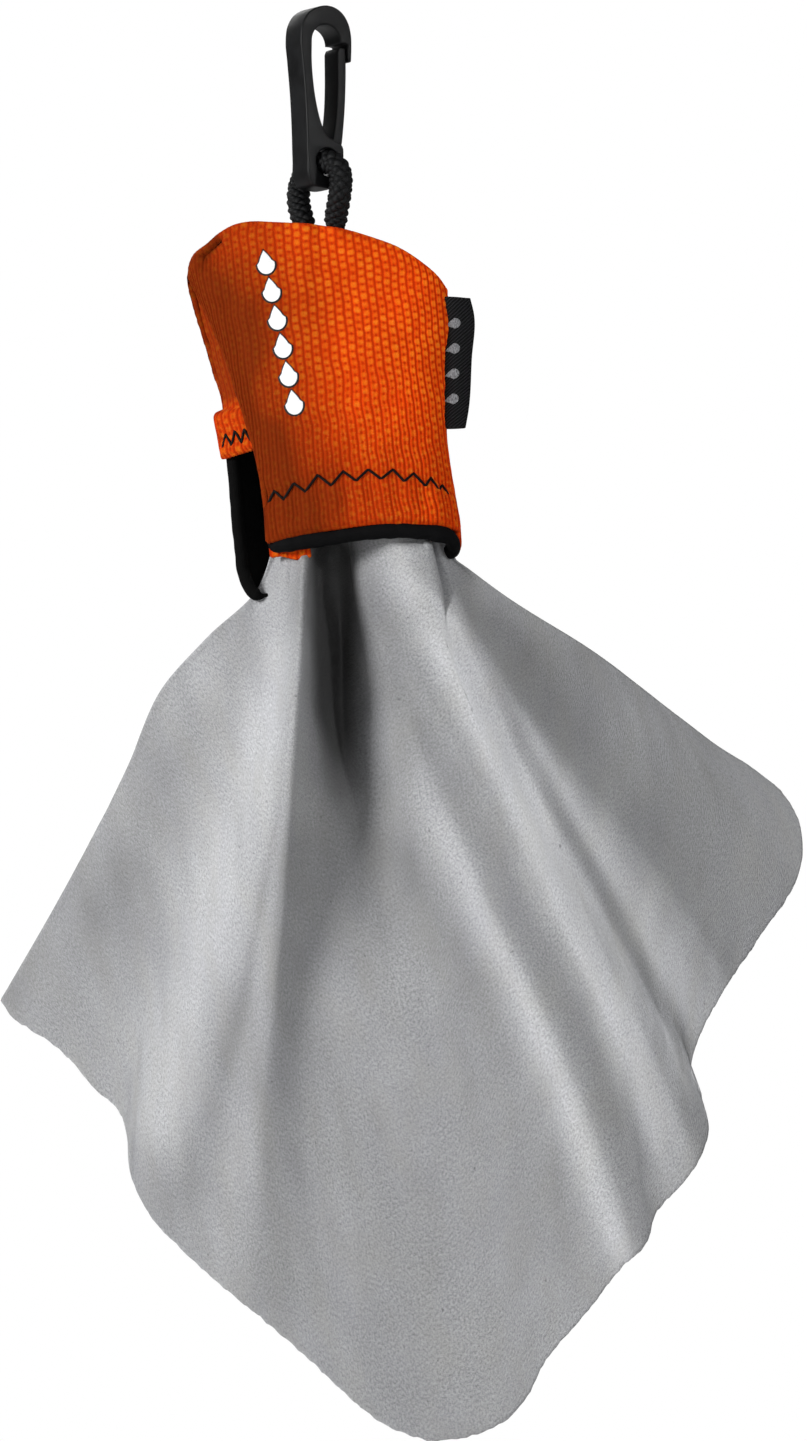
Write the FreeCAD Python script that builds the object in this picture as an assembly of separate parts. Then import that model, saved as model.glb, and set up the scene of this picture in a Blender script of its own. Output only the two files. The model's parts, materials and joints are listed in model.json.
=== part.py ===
import FreeCAD, Part
import math
import os

V = FreeCAD.Vector

# Pocket quick-dry towel in a clip-on stretch pouch.
# Millimetres, +Z up, front faces -Y.  The origin is the seat in the top of
# the hook's throat, where the ring or loop that carries the towel bears.
# Everything is first laid out from the centre of the cord eye, then moved.

# ---------------------------------------------------------------- dimensions
CLOTH_SIDE = 152.4        # flat cloth, square
CLOTH_CORNER = 16.5       # flat cloth, corner radius
CORD_D = 4.0              # braided cord
HOOK_DEPTH = 5.4          # thickness of the moulded hook
HOOK_TURN = 35.0          # hook turned about the vertical
HOOK_LEAN = 6.0           # hook leans to the right as it hangs
EYE_R = 2.5               # cord eye radius
EYE_LIP = 0.8             # rounding at both ends of the eye
THROAT_C = (-0.35, 21.9)  # centre of the throat's round top (across, up)
THROAT_R = 3.1
GATE_PIVOT = (2.55, 4.6)  # where the gate flexes (across, up)
GATE_R = 1.05
GATE_GAP = 0.25
SHELL = 1.0               # knit layer of the pouch wall
LINING = 0.5              # lining layer of the pouch wall
SEAM_ALLOW = 1.6          # seam allowance at the sides
THREAD_R = 0.25
HINGE_Z = -10.8           # the cord enters the pouch seam here, below the eye
MOUTH_Z = -71.0           # the cloth bends over the mouth here, below the eye
NOTCH_R = 3.0             # room for the two cord legs in the top seam

LEAN = math.radians(HOOK_LEAN)
TURN = math.radians(HOOK_TURN)


def hook_to_world(shape):
    s = shape.copy()
    s.rotate(V(0, 0, 0), V(0, 0, 1), HOOK_TURN)
    s.rotate(V(0, 0, 0), V(0, 1, 0), HOOK_LEAN)
    return s


# seat of the throat, from the eye centre
sx, sz = THROAT_C[0], THROAT_C[1] + THROAT_R
wx, wy = sx * math.cos(TURN), sx * math.sin(TURN)
SEAT = V(wx * math.cos(LEAN) + sz * math.sin(LEAN), wy,
         sz * math.cos(LEAN) - wx * math.sin(LEAN))
EYE = V(-SEAT.x, -SEAT.y, -SEAT.z)

os.makedirs("parts", exist_ok=True)
made = {}


def out(name, shape):
    s = shape.copy()
    s.translate(EYE)
    if s.ShapeType == "Compound" and len(s.Solids) == 1:
        s = s.Solids[0]
    s.exportStep("parts/%s.step" % name)
    b = s.BoundBox
    made[name] = s
    print("%-24s solids %d valid %s vol %9.1f mm3  cg (%.1f %.1f %.1f)  box %.1f..%.1f %.1f..%.1f %.1f..%.1f"
          % (name, len(s.Solids), s.isValid(), s.Volume,
             s.CenterOfGravity.x, s.CenterOfGravity.y, s.CenterOfGravity.z,
             b.XMin, b.XMax, b.YMin, b.YMax, b.ZMin, b.ZMax))


def spline(pts):
    c = Part.BSplineCurve()
    c.interpolate([V(*p) for p in pts])
    return c.toShape()


def line(a, b):
    return Part.LineSegment(V(*a), V(*b)).toShape()


def thread(pts, r=THREAD_R):
    parts = []
    for i, p in enumerate(pts):
        p = V(*p)
        parts.append(Part.makeSphere(r, p))
        if i + 1 < len(pts):
            q = V(*pts[i + 1])
            d = q.sub(p)
            parts.append(Part.makeCylinder(r, d.Length, p, d))
    s = parts[0].multiFuse(parts[1:])
    return s.removeSplitter()


# ---------------------------------------------------------------- hook
# Drawn flat: x across, z up, then made HOOK_DEPTH thick about y = 0.
outer = [(3.3, 3.6), (3.5, 0.5), (3.1, -3.1), (1.6, -4.6), (-0.3, -4.75),
         (-2.6, -4.5), (-3.9, -3.0), (-4.3, 0.5), (-4.5, 6.0), (-4.85, 12.0),
         (-5.5, 18.5), (-5.85, 22.0), (-5.45, 24.9), (-4.2, 26.9),
         (-2.2, 28.1), (-0.2, 28.55), (1.6, 28.3), (3.2, 27.4), (4.4, 25.8),
         (5.05, 23.6), (5.2, 21.2), (4.95, 18.7)]
inner_down = [(-3.45, 21.9), (-3.45, 18.0), (-3.15, 14.6), (-2.5, 10.8),
              (-1.6, 7.6), (-0.6, 5.3)]
c = THROAT_C
wire = Part.Wire(Part.__sortEdges__([
    spline([(p[0], 0, p[1]) for p in outer]),
    line((4.95, 0, 18.7), (4.55, 0, 18.6)),
    line((4.55, 0, 18.6), (4.55, 0, 21.9)),
    line((4.55, 0, 21.9), (2.75, 0, 21.9)),
    Part.Arc(V(2.75, 0, c[1]), V(c[0], 0, c[1] + THROAT_R),
             V(-3.45, 0, c[1])).toShape(),
    spline([(p[0], 0, p[1]) for p in inner_down]),
    Part.Arc(V(-0.6, 0, 5.3), V(0.35, 0, 4.5), V(1.1, 0, 4.35)).toShape(),
    Part.Arc(V(1.1, 0, 4.35), V(2.0, 0, 3.4), V(3.3, 0, 3.6)).toShape(),
]))
face = Part.Face(wire)
body = face.extrude(V(0, HOOK_DEPTH, 0))
body.translate(V(0, -HOOK_DEPTH / 2, 0))
# the seat that the round foot of the gate works in
gp = GATE_PIVOT
seat_cut = Part.makeCylinder(GATE_R + GATE_GAP, HOOK_DEPTH + 2,
                             V(gp[0], -HOOK_DEPTH / 2 - 1, gp[1]), V(0, 1, 0))
body = body.cut(seat_cut)


def soften(s, r, pick):
    for k in (1.0, 0.8, 0.6, 0.4):
        try:
            f = s.makeFillet(r * k, [e for e in s.Edges if pick(e)])
            if f.isValid() and f.Volume > 0.7 * s.Volume:
                print("   fillet", round(r * k, 2), "on", s.ShapeType)
                return f
        except Exception:
            pass
    print("   fillet failed")
    return s


def on_long_face(e):
    b = e.BoundBox
    return (abs(b.YMin - b.YMax) < 1e-6 and abs(abs(b.YMin) - HOOK_DEPTH / 2) < 1e-6
            and e.Length > 1.5)


body = soften(body, 0.8, on_long_face)
eye = Part.makeCylinder(EYE_R, HOOK_DEPTH + 2, V(0, -HOOK_DEPTH / 2 - 1, 0),
                        V(0, 1, 0))
body = body.cut(eye)
body = soften(body, EYE_LIP, lambda e: hasattr(e.Curve, "Radius")
              and abs(e.Curve.Radius - EYE_R) < 1e-6
              and abs(e.BoundBox.YMax - e.BoundBox.YMin) < 1e-6)
if body.ShapeType == "Compound":
    body = body.Solids[0]
out("clip_body", hook_to_world(body))

# Gate: a springy tongue, its tip inside the nose, its foot round the pivot.
gx, gz = GATE_PIVOT
gw = Part.Wire([
    Part.Arc(V(gx - GATE_R, 0, gz), V(gx, 0, gz - GATE_R),
             V(gx + GATE_R, 0, gz)).toShape(),
    spline([(gx + GATE_R, 0, gz), (3.85, 0, 9.0), (4.1, 0, 14.0), (4.22, 0, 20.3)]),
    line((4.22, 0, 20.3), (4.0, 0, 21.2)),
    line((4.0, 0, 21.2), (2.7, 0, 21.2)),
    line((2.7, 0, 21.2), (2.3, 0, 20.2)),
    spline([(2.3, 0, 20.2), (2.35, 0, 14.0), (2.1, 0, 9.0), (gx - GATE_R, 0, gz)]),
])
gate = Part.Face(gw).extrude(V(0, HOOK_DEPTH - 1.0, 0))
gate.translate(V(0, -(HOOK_DEPTH - 1.0) / 2, 0))
gate = soften(gate, 0.4, lambda e: abs(e.BoundBox.YMin - e.BoundBox.YMax) < 1e-6
              and e.Length > 3.0)
out("clip_gate", hook_to_world(gate))

# ---------------------------------------------------------------- cord loop
# Route of the loop from the left leg, round behind the hook, through the
# eye and down in front: (towards the back of the hook, across it, up).
LOOP = [(2.6, -2.9, -10.8), (5.0, -2.3, -6.4), (5.7, -1.0, -2.6),
        (3.4, -0.2, 0.1), (-3.4, 0.2, 0.1), (-5.7, 0.6, -2.6),
        (-5.0, 0.2, -6.6), (-1.5, 0.9, -10.8)]


def loop_point(p):
    d, t, z = p
    return V(-math.sin(TURN) * d + math.cos(TURN) * t,
             math.cos(TURN) * d + math.sin(TURN) * t, z)


def cord_wire(pts):
    n = len(pts)
    tang, arcs = [], []
    for i in range(1, n - 1):
        a = pts[i].sub(pts[i - 1])
        b = pts[i + 1].sub(pts[i])
        la, lb = a.Length, b.Length
        turn = a.getAngle(b)
        t = 0.45 * min(la, lb)
        r = t / math.tan(turn / 2)
        a.normalize()
        b.normalize()
        p0 = pts[i].sub(a * t)
        p2 = pts[i].add(b * t)
        bis = b.sub(a)
        bis.normalize()
        h = r / math.cos(turn / 2) - r
        p1 = pts[i].add(bis * h)
        arcs.append((p0, p1, p2))
        print("   cord turn %.0f deg radius %.2f" % (math.degrees(turn), r))
    edges = []
    here = pts[0]
    for p0, p1, p2 in arcs:
        edges.append(Part.LineSegment(here, p0).toShape())
        edges.append(Part.Arc(p0, p1, p2).toShape())
        here = p2
    edges.append(Part.LineSegment(here, pts[-1]).toShape())
    return Part.Wire(edges)


pts = [loop_point(p) for p in LOOP]
cw = cord_wire(pts)
d0 = pts[1].sub(pts[0])
ring = Part.Wire(Part.Circle(pts[0], d0, CORD_D / 2).toShape())
ps = Part.BRepOffsetAPI.MakePipeShell(cw)
ps.setFrenetMode(True)
ps.add(ring)
ps.build()
ps.makeSolid()
cord = ps.shape()
if cord.Volume < 0:
    cord.reverse()
ends = [Part.makeSphere(CORD_D / 2, pts[0]), Part.makeSphere(CORD_D / 2, pts[-1])]
print("   cord length %.1f  volume %.1f of %.1f"
      % (cw.Length, cord.Volume, math.pi * CORD_D ** 2 / 4 * cw.Length))
cord = cord.multiFuse(ends)
out("cord_loop", cord)

# ---------------------------------------------------------------- pouch form
# Level, left edge, right edge, half depth, from the eye centre.
LEVELS = [
    (-8.75, -17.2, -11.2, 1.1),
    (-9.6, -18.9, -6.6, 1.35),
    (-11.0, -21.0, -0.4, 1.6),
    (-12.4, -23.2, 4.6, 1.9),
    (-14.1, -24.8, 8.6, 2.3),
    (-16.7, -25.6, 13.0, 3.0),
    (-20.5, -25.4, 17.2, 4.0),
    (-25.0, -24.6, 20.0, 5.0),
    (-31.0, -23.7, 20.0, 5.9),
    (-38.0, -23.0, 18.7, 6.5),
    (-46.0, -22.8, 17.6, 6.8),
    (-55.0, -22.8, 17.2, 6.9),
    (-64.0, -22.9, 17.6, 6.9),
    (-71.0, -22.7, 17.8, 6.8),
    (-79.0, -22.3, 17.6, 6.6),
]


def section(z, x0, x1, b, n=28):
    xc, a = (x0 + x1) / 2, (x1 - x0) / 2
    p = []
    for i in range(n):
        t = 2 * math.pi * i / n
        p.append(V(xc + a * math.cos(t), b * math.sin(t), z))
    cur = Part.BSplineCurve()
    cur.interpolate(p, PeriodicFlag=True)
    return Part.Wire(cur.toShape())


def form(inx, iny, top):
    w = []
    for z, x0, x1, b in LEVELS:
        if z > top or b - iny < 0.35 or x1 - x0 - 2 * inx < 4:
            continue
        w.append(section(z, x0 + inx, x1 - inx, b - iny))
    return Part.makeLoft(w, True, True)


FORM_OUT = form(0, 0, 0)
FORM_MID = form(SEAM_ALLOW, SHELL, -13.0)
FORM_IN = form(SEAM_ALLOW + 0.6, SHELL + LINING, -16.0)
print("   forms", FORM_OUT.Volume, FORM_MID.Volume, FORM_IN.Volume)
KNIT = FORM_OUT.cut(FORM_MID)
LINE_LAYER = FORM_MID.cut(FORM_IN)


def surface_y(x, z, side):
    # height of the outer form over the middle plane at (x, z)
    for i in range(len(LEVELS) - 1):
        a, b = LEVELS[i], LEVELS[i + 1]
        if a[0] >= z >= b[0]:
            f = (a[0] - z) / (a[0] - b[0])
            x0 = a[1] + f * (b[1] - a[1])
            x1 = a[2] + f * (b[2] - a[2])
            h = a[3] + f * (b[3] - a[3])
            xc, w = (x0 + x1) / 2, (x1 - x0) / 2
            q = max(0.0, 1 - ((x - xc) / w) ** 2)
            return side * h * math.sqrt(q)
    return 0.0


def prism(poly, y0, y1):
    w = Part.makePolygon([V(x, y0, z) for x, z in poly + [poly[0]]])
    return Part.Face(w).extrude(V(0, y1 - y0, 0))


# lower edges and the left edge of the front
FRONT_EDGE = [(-21.6, -20.7), (-19.4, -34.0), (-16.8, -50.7), (-15.9, -60.6),
              (-16.2, -67.9)]
FRONT_HEM = [(-16.2, -67.9), (-9.2, -67.2), (-3.0, -66.9), (3.5, -66.7),
             (9.0, -67.3), (14.2, -67.9), (19.0, -68.7)]
BIND = 2.4
BACK_HEM = [(19.0, -73.0), (8.0, -73.9), (-4.0, -75.0), (-12.0, -76.6),
            (-18.4, -77.4), (-20.6, -76.6), (-21.8, -74.6), (-23.4, -70.0)]
TAB_Z = -51.2

front_zone = prism([(-30, -4), (-30, -20.7)] + FRONT_EDGE + FRONT_HEM[1:]
                   + [(30, -68.7), (30, -4)], -12, 0)
side_zone = prism([(-30, -20.7)] + FRONT_EDGE[:3] + [(-16.8, TAB_Z), (-30, TAB_Z)],
                  -12, 0)
bind_zone = prism(FRONT_HEM + [(19.0, -68.7 - BIND)]
                  + [(x, z - BIND) for x, z in reversed(FRONT_HEM[:-1])], -12, 0)
back_zone = prism([(-30, -4), (-30, -70.0), (-23.4, -70.0)]
                  + list(reversed(BACK_HEM[:-1])) + [(30, -73.0), (30, -4)], 0, 12)

# ---------------------------------------------------------------- threads
top_path = [(-23.6, 0, -17.5), (-22.6, 0, -14.6), (-20.0, 0, -12.6),
            (-16.6, 0, -11.0), (-12.0, 0, -10.9), (-7.2, 0, -11.6)]
top_path2 = [(4.9, 0, -14.9), (8.2, 0, -16.2), (12.0, 0, -18.4),
             (15.6, 0, -21.7), (18.6, 0, -25.3)]
top_thread = thread(top_path).fuse(thread(top_path2))
right_path = [(19.1, 0, -27.2), (18.9, 0, -32.0), (17.8, 0, -38.6),
              (16.8, 0, -46.0), (16.4, 0, -52.0), (16.5, 0, -60.0),
              (16.9, 0, -67.0)]
right_thread = thread(right_path)

# ---------------------------------------------------------------- label
# A woven strip folded double, its fold outwards, its ends in the side seam.
LABEL = [(18.3, -26.8), (24.0, -27.6), (24.2, -29.9), (22.5, -41.1),
         (21.0, -49.6), (20.6, -50.3), (15.6, -50.2), (17.0, -40.5)]
label = prism(LABEL, -0.3, 0.3)
label = soften(label, 0.25, lambda e: abs(e.BoundBox.YMax - e.BoundBox.YMin) < 1e-6
               and e.BoundBox.XMax > 20.9 and e.Length > 4)
label = label.cut(right_thread)

# ---------------------------------------------------------------- cord tails
tailL = Part.makeCylinder(1.2, 5.6, V(pts[0].x, 0, -19.0), V(0, 0, 1))
tailR = Part.makeCylinder(1.2, 5.6, V(pts[-1].x, 0, -19.0), V(0, 0, 1))
tails = Part.Compound([tailL, tailR])
bartack = Part.makeBox(9.4, 2.0, 2.2, V((pts[0].x + pts[-1].x) / 2 - 4.7, -1.0, -21.2))
bartack = soften(bartack, 0.4, lambda e: abs(e.BoundBox.ZMax - e.BoundBox.ZMin) > 1)

# room for the legs of the loop, which swing about the top seam
notch = Part.makeCylinder(NOTCH_R, pts[-1].x - pts[0].x + 2 * NOTCH_R,
                          V(pts[0].x - NOTCH_R, 0, HINGE_Z), V(1, 0, 0))
tools = [top_thread, right_thread, label, tailL, tailR, notch]


def trimmed(layer, zone):
    s = layer.common(zone)
    for t in tools:
        s = s.cut(t)
    best = sorted(s.Solids, key=lambda q: -q.Volume)
    if len(best) > 1:
        print("   pieces", [round(q.Volume, 2) for q in best])
    return best[0]


out("front_panel", trimmed(KNIT, front_zone))
out("front_lining", trimmed(LINE_LAYER, front_zone))
out("side_gusset", trimmed(KNIT, side_zone))
out("side_gusset_lining", trimmed(LINE_LAYER, side_zone))
out("back_panel", trimmed(KNIT, back_zone))
out("back_lining", trimmed(LINE_LAYER, back_zone))
out("mouth_binding", trimmed(FORM_OUT.cut(FORM_IN), bind_zone))
out("top_seam_thread", top_thread)
out("right_seam_thread", right_thread)
out("side_label", label)
out("cord_tails", tails)
out("cord_bartack", bartack)


def on_face(path, side):
    return [(x, surface_y(x, z, side) + side * (THREAD_R + 0.12), z) for x, z in path]


FRONT_ZIG = [(-15.1, -60.6), (-14.1, -58.8), (-12.7, -60.6), (-10.6, -57.9),
             (-8.7, -59.7), (-6.2, -56.9), (-4.0, -59.1), (-1.6, -56.7),
             (0.5, -58.7), (2.9, -56.8), (5.0, -58.8), (7.3, -57.2),
             (9.1, -59.6), (10.9, -58.2), (12.8, -60.7), (13.9, -59.2),
             (15.1, -61.5), (15.8, -60.7)]
BACK_ZIG = []
for i in range(17):
    x = 15.4 - i * 2.22
    z = -64.6 - (i / 16.0) * 2.6 + (1.0 if i % 2 else -1.0)
    BACK_ZIG.append((x, z))
TAB_ZIG = [(-22.0, -49.6), (-21.4, -47.4), (-20.6, -49.6), (-19.7, -46.7),
           (-18.6, -49.4), (-17.6, -46.6)]
out("front_hem_stitching", thread(on_face(FRONT_ZIG, -1)))
out("back_hem_stitching", thread(on_face(BACK_ZIG, 1)))
out("gusset_hem_stitching", thread(on_face(TAB_ZIG, -1)))

# ---------------------------------------------------------------- cloth
# The one cloth is split where it bends over the mouth of the pouch.
NECK = [(-21.6, -4.0, 1.6, 1.4), (-26.0, -5.6, 3.6, 1.9), (-34.0, -8.4, 6.6, 2.6),
        (-44.0, -11.4, 9.4, 3.2), (-56.0, -13.6, 11.6, 3.6), (-69.5, -14.4, 13.0, 3.6)]
SKIRT = [(-72.4, -16.0, 13.6, 2.4), (-77.0, -19.4, 18.6, 2.6), (-84.0, -30.0, 28.2, 3.2),
         (-94.0, -40.0, 41.2, 3.8), (-104.0, -45.4, 52.0, 3.7), (-113.0, -51.2, 61.4, 3.5),
         (-121.0, -56.4, 71.4, 3.3), (-131.0, -63.4, 73.4, 3.1), (-138.0, -68.4, 71.2, 2.9),
         (-143.9, -72.4, 66.0, 2.8), (-150.0, -67.4, 61.2, 2.7), (-158.0, -59.6, 54.6, 2.6),
         (-167.0, -53.0, 49.8, 2.5), (-178.0, -52.0, 50.9, 2.4), (-188.0, -47.6, 46.2, 2.2),
         (-200.0, -37.0, 36.2, 2.0), (-212.0, -25.6, 24.2, 1.8), (-221.0, -17.0, 16.0, 1.6),
         (-227.0, -10.6, 10.8, 1.4), (-230.4, -4.0, 3.4, 1.1)]


def facet_section(z, x0, x1, b):
    # lens-like outline of the folded cloth at one level
    xc, a = (x0 + x1) / 2, (x1 - x0) / 2
    rim = [(-1.0, 0.3), (-0.8, 0.75), (-0.4, 1.0), (0.4, 1.0), (0.8, 0.75), (1.0, 0.3)]
    return ([V(xc + a * u, -b * h, z) for u, h in rim]
            + [V(xc + a * u, b * h, z) for u, h in reversed(rim)])


def facet_solid(rows):
    # closed solid of flat triangles through the levels
    rings = [facet_section(*r) for r in rows]
    faces = []

    def tri(a, b, c):
        faces.append(Part.Face(Part.makePolygon([a, b, c, a])))

    n = len(rings[0])
    for upper, lower in zip(rings, rings[1:]):
        for i in range(n):
            j = (i + 1) % n
            tri(upper[i], lower[i], lower[j])
            tri(upper[i], lower[j], upper[j])
    for ring, flip in ((rings[0], False), (rings[-1], True)):
        w = Part.makePolygon(ring + [ring[0]])
        faces.append(Part.Face(w))
    shell = Part.makeShell(faces)
    shell.sewShape()
    solid = Part.makeSolid(shell)
    if solid.Volume < 0:
        solid.reverse()
    return solid


neck = facet_solid(NECK)
skirt = facet_solid(SKIRT)
out("cloth_neck", neck)
out("cloth", skirt)

print("eye", EYE, "hook front", math.sin(TURN) * math.cos(LEAN), -math.cos(TURN),
      -math.sin(TURN) * math.sin(LEAN))
print("flat cloth area mm2", CLOTH_SIDE ** 2 - (4 - math.pi) * CLOTH_CORNER ** 2)
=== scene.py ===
import json
import math
import bpy
import numpy as np
from mathutils import Vector, Matrix

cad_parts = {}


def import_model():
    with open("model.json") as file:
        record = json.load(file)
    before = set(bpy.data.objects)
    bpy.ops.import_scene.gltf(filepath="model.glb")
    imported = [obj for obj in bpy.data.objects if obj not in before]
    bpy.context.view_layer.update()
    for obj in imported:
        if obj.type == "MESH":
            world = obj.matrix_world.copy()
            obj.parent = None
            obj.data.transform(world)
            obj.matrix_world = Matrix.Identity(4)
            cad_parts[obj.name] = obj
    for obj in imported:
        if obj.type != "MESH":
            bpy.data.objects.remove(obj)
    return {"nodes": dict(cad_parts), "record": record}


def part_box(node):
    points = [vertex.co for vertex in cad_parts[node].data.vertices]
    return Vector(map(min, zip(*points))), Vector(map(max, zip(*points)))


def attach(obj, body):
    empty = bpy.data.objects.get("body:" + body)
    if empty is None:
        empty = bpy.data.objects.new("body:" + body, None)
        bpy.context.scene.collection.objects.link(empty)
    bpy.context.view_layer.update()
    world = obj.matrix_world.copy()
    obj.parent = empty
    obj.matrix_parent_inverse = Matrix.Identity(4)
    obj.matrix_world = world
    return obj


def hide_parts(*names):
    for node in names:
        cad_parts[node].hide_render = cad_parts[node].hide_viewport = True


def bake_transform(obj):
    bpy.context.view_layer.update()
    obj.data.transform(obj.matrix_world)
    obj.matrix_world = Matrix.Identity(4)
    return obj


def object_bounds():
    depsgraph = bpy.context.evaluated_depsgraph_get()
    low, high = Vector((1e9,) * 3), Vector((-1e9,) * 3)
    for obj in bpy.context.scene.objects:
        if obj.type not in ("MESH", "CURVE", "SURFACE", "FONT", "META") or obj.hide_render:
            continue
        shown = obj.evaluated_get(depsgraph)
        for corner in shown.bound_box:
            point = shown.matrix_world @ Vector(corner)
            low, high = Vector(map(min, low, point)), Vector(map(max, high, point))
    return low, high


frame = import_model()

cad_box = [list(map(float, c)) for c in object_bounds()]
RNG = np.random.RandomState(11)
MM = 0.001

# ------------------------------------------------------------------ places
J = {j["name"]: j for j in frame["record"]["behaviour"]["joints"]}
EYE = np.array(J["loop_swing"]["pos_m"]) * 1000.0     # mm, row frame
TURN = math.radians(35.0)
LEAN = math.radians(6.0)


def world(p):
    """From millimetres about the cord eye to metres in the row frame."""
    return (np.asarray(p, float) + EYE) * MM


# ------------------------------------------------------------------ camera
cam_data = bpy.data.cameras.new("camera")
cam = bpy.data.objects.new("camera", cam_data)
bpy.context.scene.collection.objects.link(cam)
CAM_EL = math.radians(-5.0)
ROLL = math.radians(6.0)
DIST = 1.5
aim = world((4.5, 0.0, -101.8))
look = np.array([0.0, math.cos(CAM_EL), -math.sin(CAM_EL)])
right0 = np.array([1.0, 0.0, 0.0])
up0 = np.cross(right0, look)
right = right0 * math.cos(ROLL) - up0 * math.sin(ROLL)
up = up0 * math.cos(ROLL) + right0 * math.sin(ROLL)
pos = aim - look * DIST
cam.matrix_world = Matrix((
    (right[0], up[0], -look[0], pos[0]),
    (right[1], up[1], -look[1], pos[1]),
    (right[2], up[2], -look[2], pos[2]),
    (0, 0, 0, 1)))
cam_data.sensor_fit = "VERTICAL"
cam_data.sensor_height = 24.0
cam_data.lens = 24.0 * DIST / 0.25838
cam_data.clip_start = 0.01
cam_data.clip_end = 50
bpy.context.scene.camera = cam


# ------------------------------------------------------------------ helpers
def pchip(xk, yk, x):
    """Monotone cubic through (xk, yk); yk may have trailing dimensions."""
    xk = np.asarray(xk, float)
    yk = np.asarray(yk, float)
    x = np.asarray(x, float)
    shape = yk.shape[1:]
    Y = yk.reshape(len(xk), -1)
    h = np.diff(xk)[:, None]
    d = np.diff(Y, axis=0) / h
    m = np.zeros_like(Y)
    if len(xk) > 2:
        w1 = 2 * h[1:] + h[:-1]
        w2 = h[1:] + 2 * h[:-1]
        same = (d[:-1] * d[1:]) > 0
        with np.errstate(divide="ignore", invalid="ignore"):
            mm = (w1 + w2) / (w1 / d[:-1] + w2 / d[1:])
        m[1:-1] = np.where(same, mm, 0)
    m[0] = d[0]
    m[-1] = d[-1]
    i = np.clip(np.searchsorted(xk, x, side="right") - 1, 0, len(xk) - 2)
    t = ((x - xk[i]) / (xk[i + 1] - xk[i]))[:, None]
    hh = (xk[i + 1] - xk[i])[:, None]
    a, b = Y[i], Y[i + 1]
    t2, t3 = t * t, t * t * t
    r = ((2 * t3 - 3 * t2 + 1) * a + (t3 - 2 * t2 + t) * hh * m[i]
         + (-2 * t3 + 3 * t2) * b + (t3 - t2) * hh * m[i + 1])
    return r.reshape((len(x),) + shape)


def catmull(xk, yk, x):
    """Smooth cubic through (xk, yk) with finite-difference slopes."""
    xk = np.asarray(xk, float)
    Y = np.asarray(yk, float)
    shape = Y.shape[1:]
    Y = Y.reshape(len(xk), -1)
    x = np.asarray(x, float)
    h = np.diff(xk)[:, None]
    d = np.diff(Y, axis=0) / h
    m = np.zeros_like(Y)
    m[1:-1] = (d[:-1] * h[1:] + d[1:] * h[:-1]) / (h[1:] + h[:-1])
    m[0] = d[0]
    m[-1] = d[-1]
    i = np.clip(np.searchsorted(xk, x, side="right") - 1, 0, len(xk) - 2)
    t = ((x - xk[i]) / (xk[i + 1] - xk[i]))[:, None]
    hh = (xk[i + 1] - xk[i])[:, None]
    t2, t3 = t * t, t * t * t
    r = ((2 * t3 - 3 * t2 + 1) * Y[i] + (t3 - 2 * t2 + t) * hh * m[i]
         + (-2 * t3 + 3 * t2) * Y[i + 1] + (t3 - t2) * hh * m[i + 1])
    return r.reshape((len(x),) + shape)


def arc_param(p):
    p = np.asarray(p, float)
    d = np.r_[0, np.cumsum(np.linalg.norm(np.diff(p, axis=0), axis=1))]
    return d / d[-1]


def curve(p, t, smooth=True):
    p = np.asarray(p, float)
    f = catmull if smooth else pchip
    return f(arc_param(p), p, t)


def noise2(u, v, scale, seed, octaves=3):
    """Smooth, seeded sum of sines."""
    r = np.random.RandomState(seed)
    out = np.zeros_like(u, dtype=float)
    amp, tot = 1.0, 0.0
    k = 2 * math.pi / scale
    for _ in range(octaves):
        for _ in range(5):
            a = r.uniform(0, 2 * math.pi)
            f = k * r.uniform(0.7, 1.3)
            out += amp * np.sin(f * (u * math.cos(a) + v * math.sin(a)) + r.uniform(0, 6.28))
            tot += amp
        amp *= 0.5
        k *= 2.1
    return out / tot * 2.0


def grid_normals(P):
    du = np.gradient(P, axis=0)
    dv = np.gradient(P, axis=1)
    n = np.cross(du, dv)
    return n / (np.linalg.norm(n, axis=2, keepdims=True) + 1e-12)


def add_mesh(name, verts, faces, uv=None, attrs=None, smooth=True):
    me = bpy.data.meshes.new(name)
    me.from_pydata([tuple(v) for v in verts], [], faces)
    me.validate(verbose=False)
    me.update()
    if smooth:
        me.polygons.foreach_set("use_smooth", [True] * len(me.polygons))
    if uv is not None:
        layer = me.uv_layers.new(name="UVMap")
        idx = np.zeros(len(me.loops), dtype=np.int32)
        me.loops.foreach_get("vertex_index", idx)
        layer.data.foreach_set("uv", np.asarray(uv, np.float32)[idx].ravel())
    for k, val in (attrs or {}).items():
        a = me.attributes.new(k, "FLOAT", "POINT")
        a.data.foreach_set("value", np.asarray(val, np.float32))
    ob = bpy.data.objects.new(name, me)
    bpy.context.scene.collection.objects.link(ob)
    return ob


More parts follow.
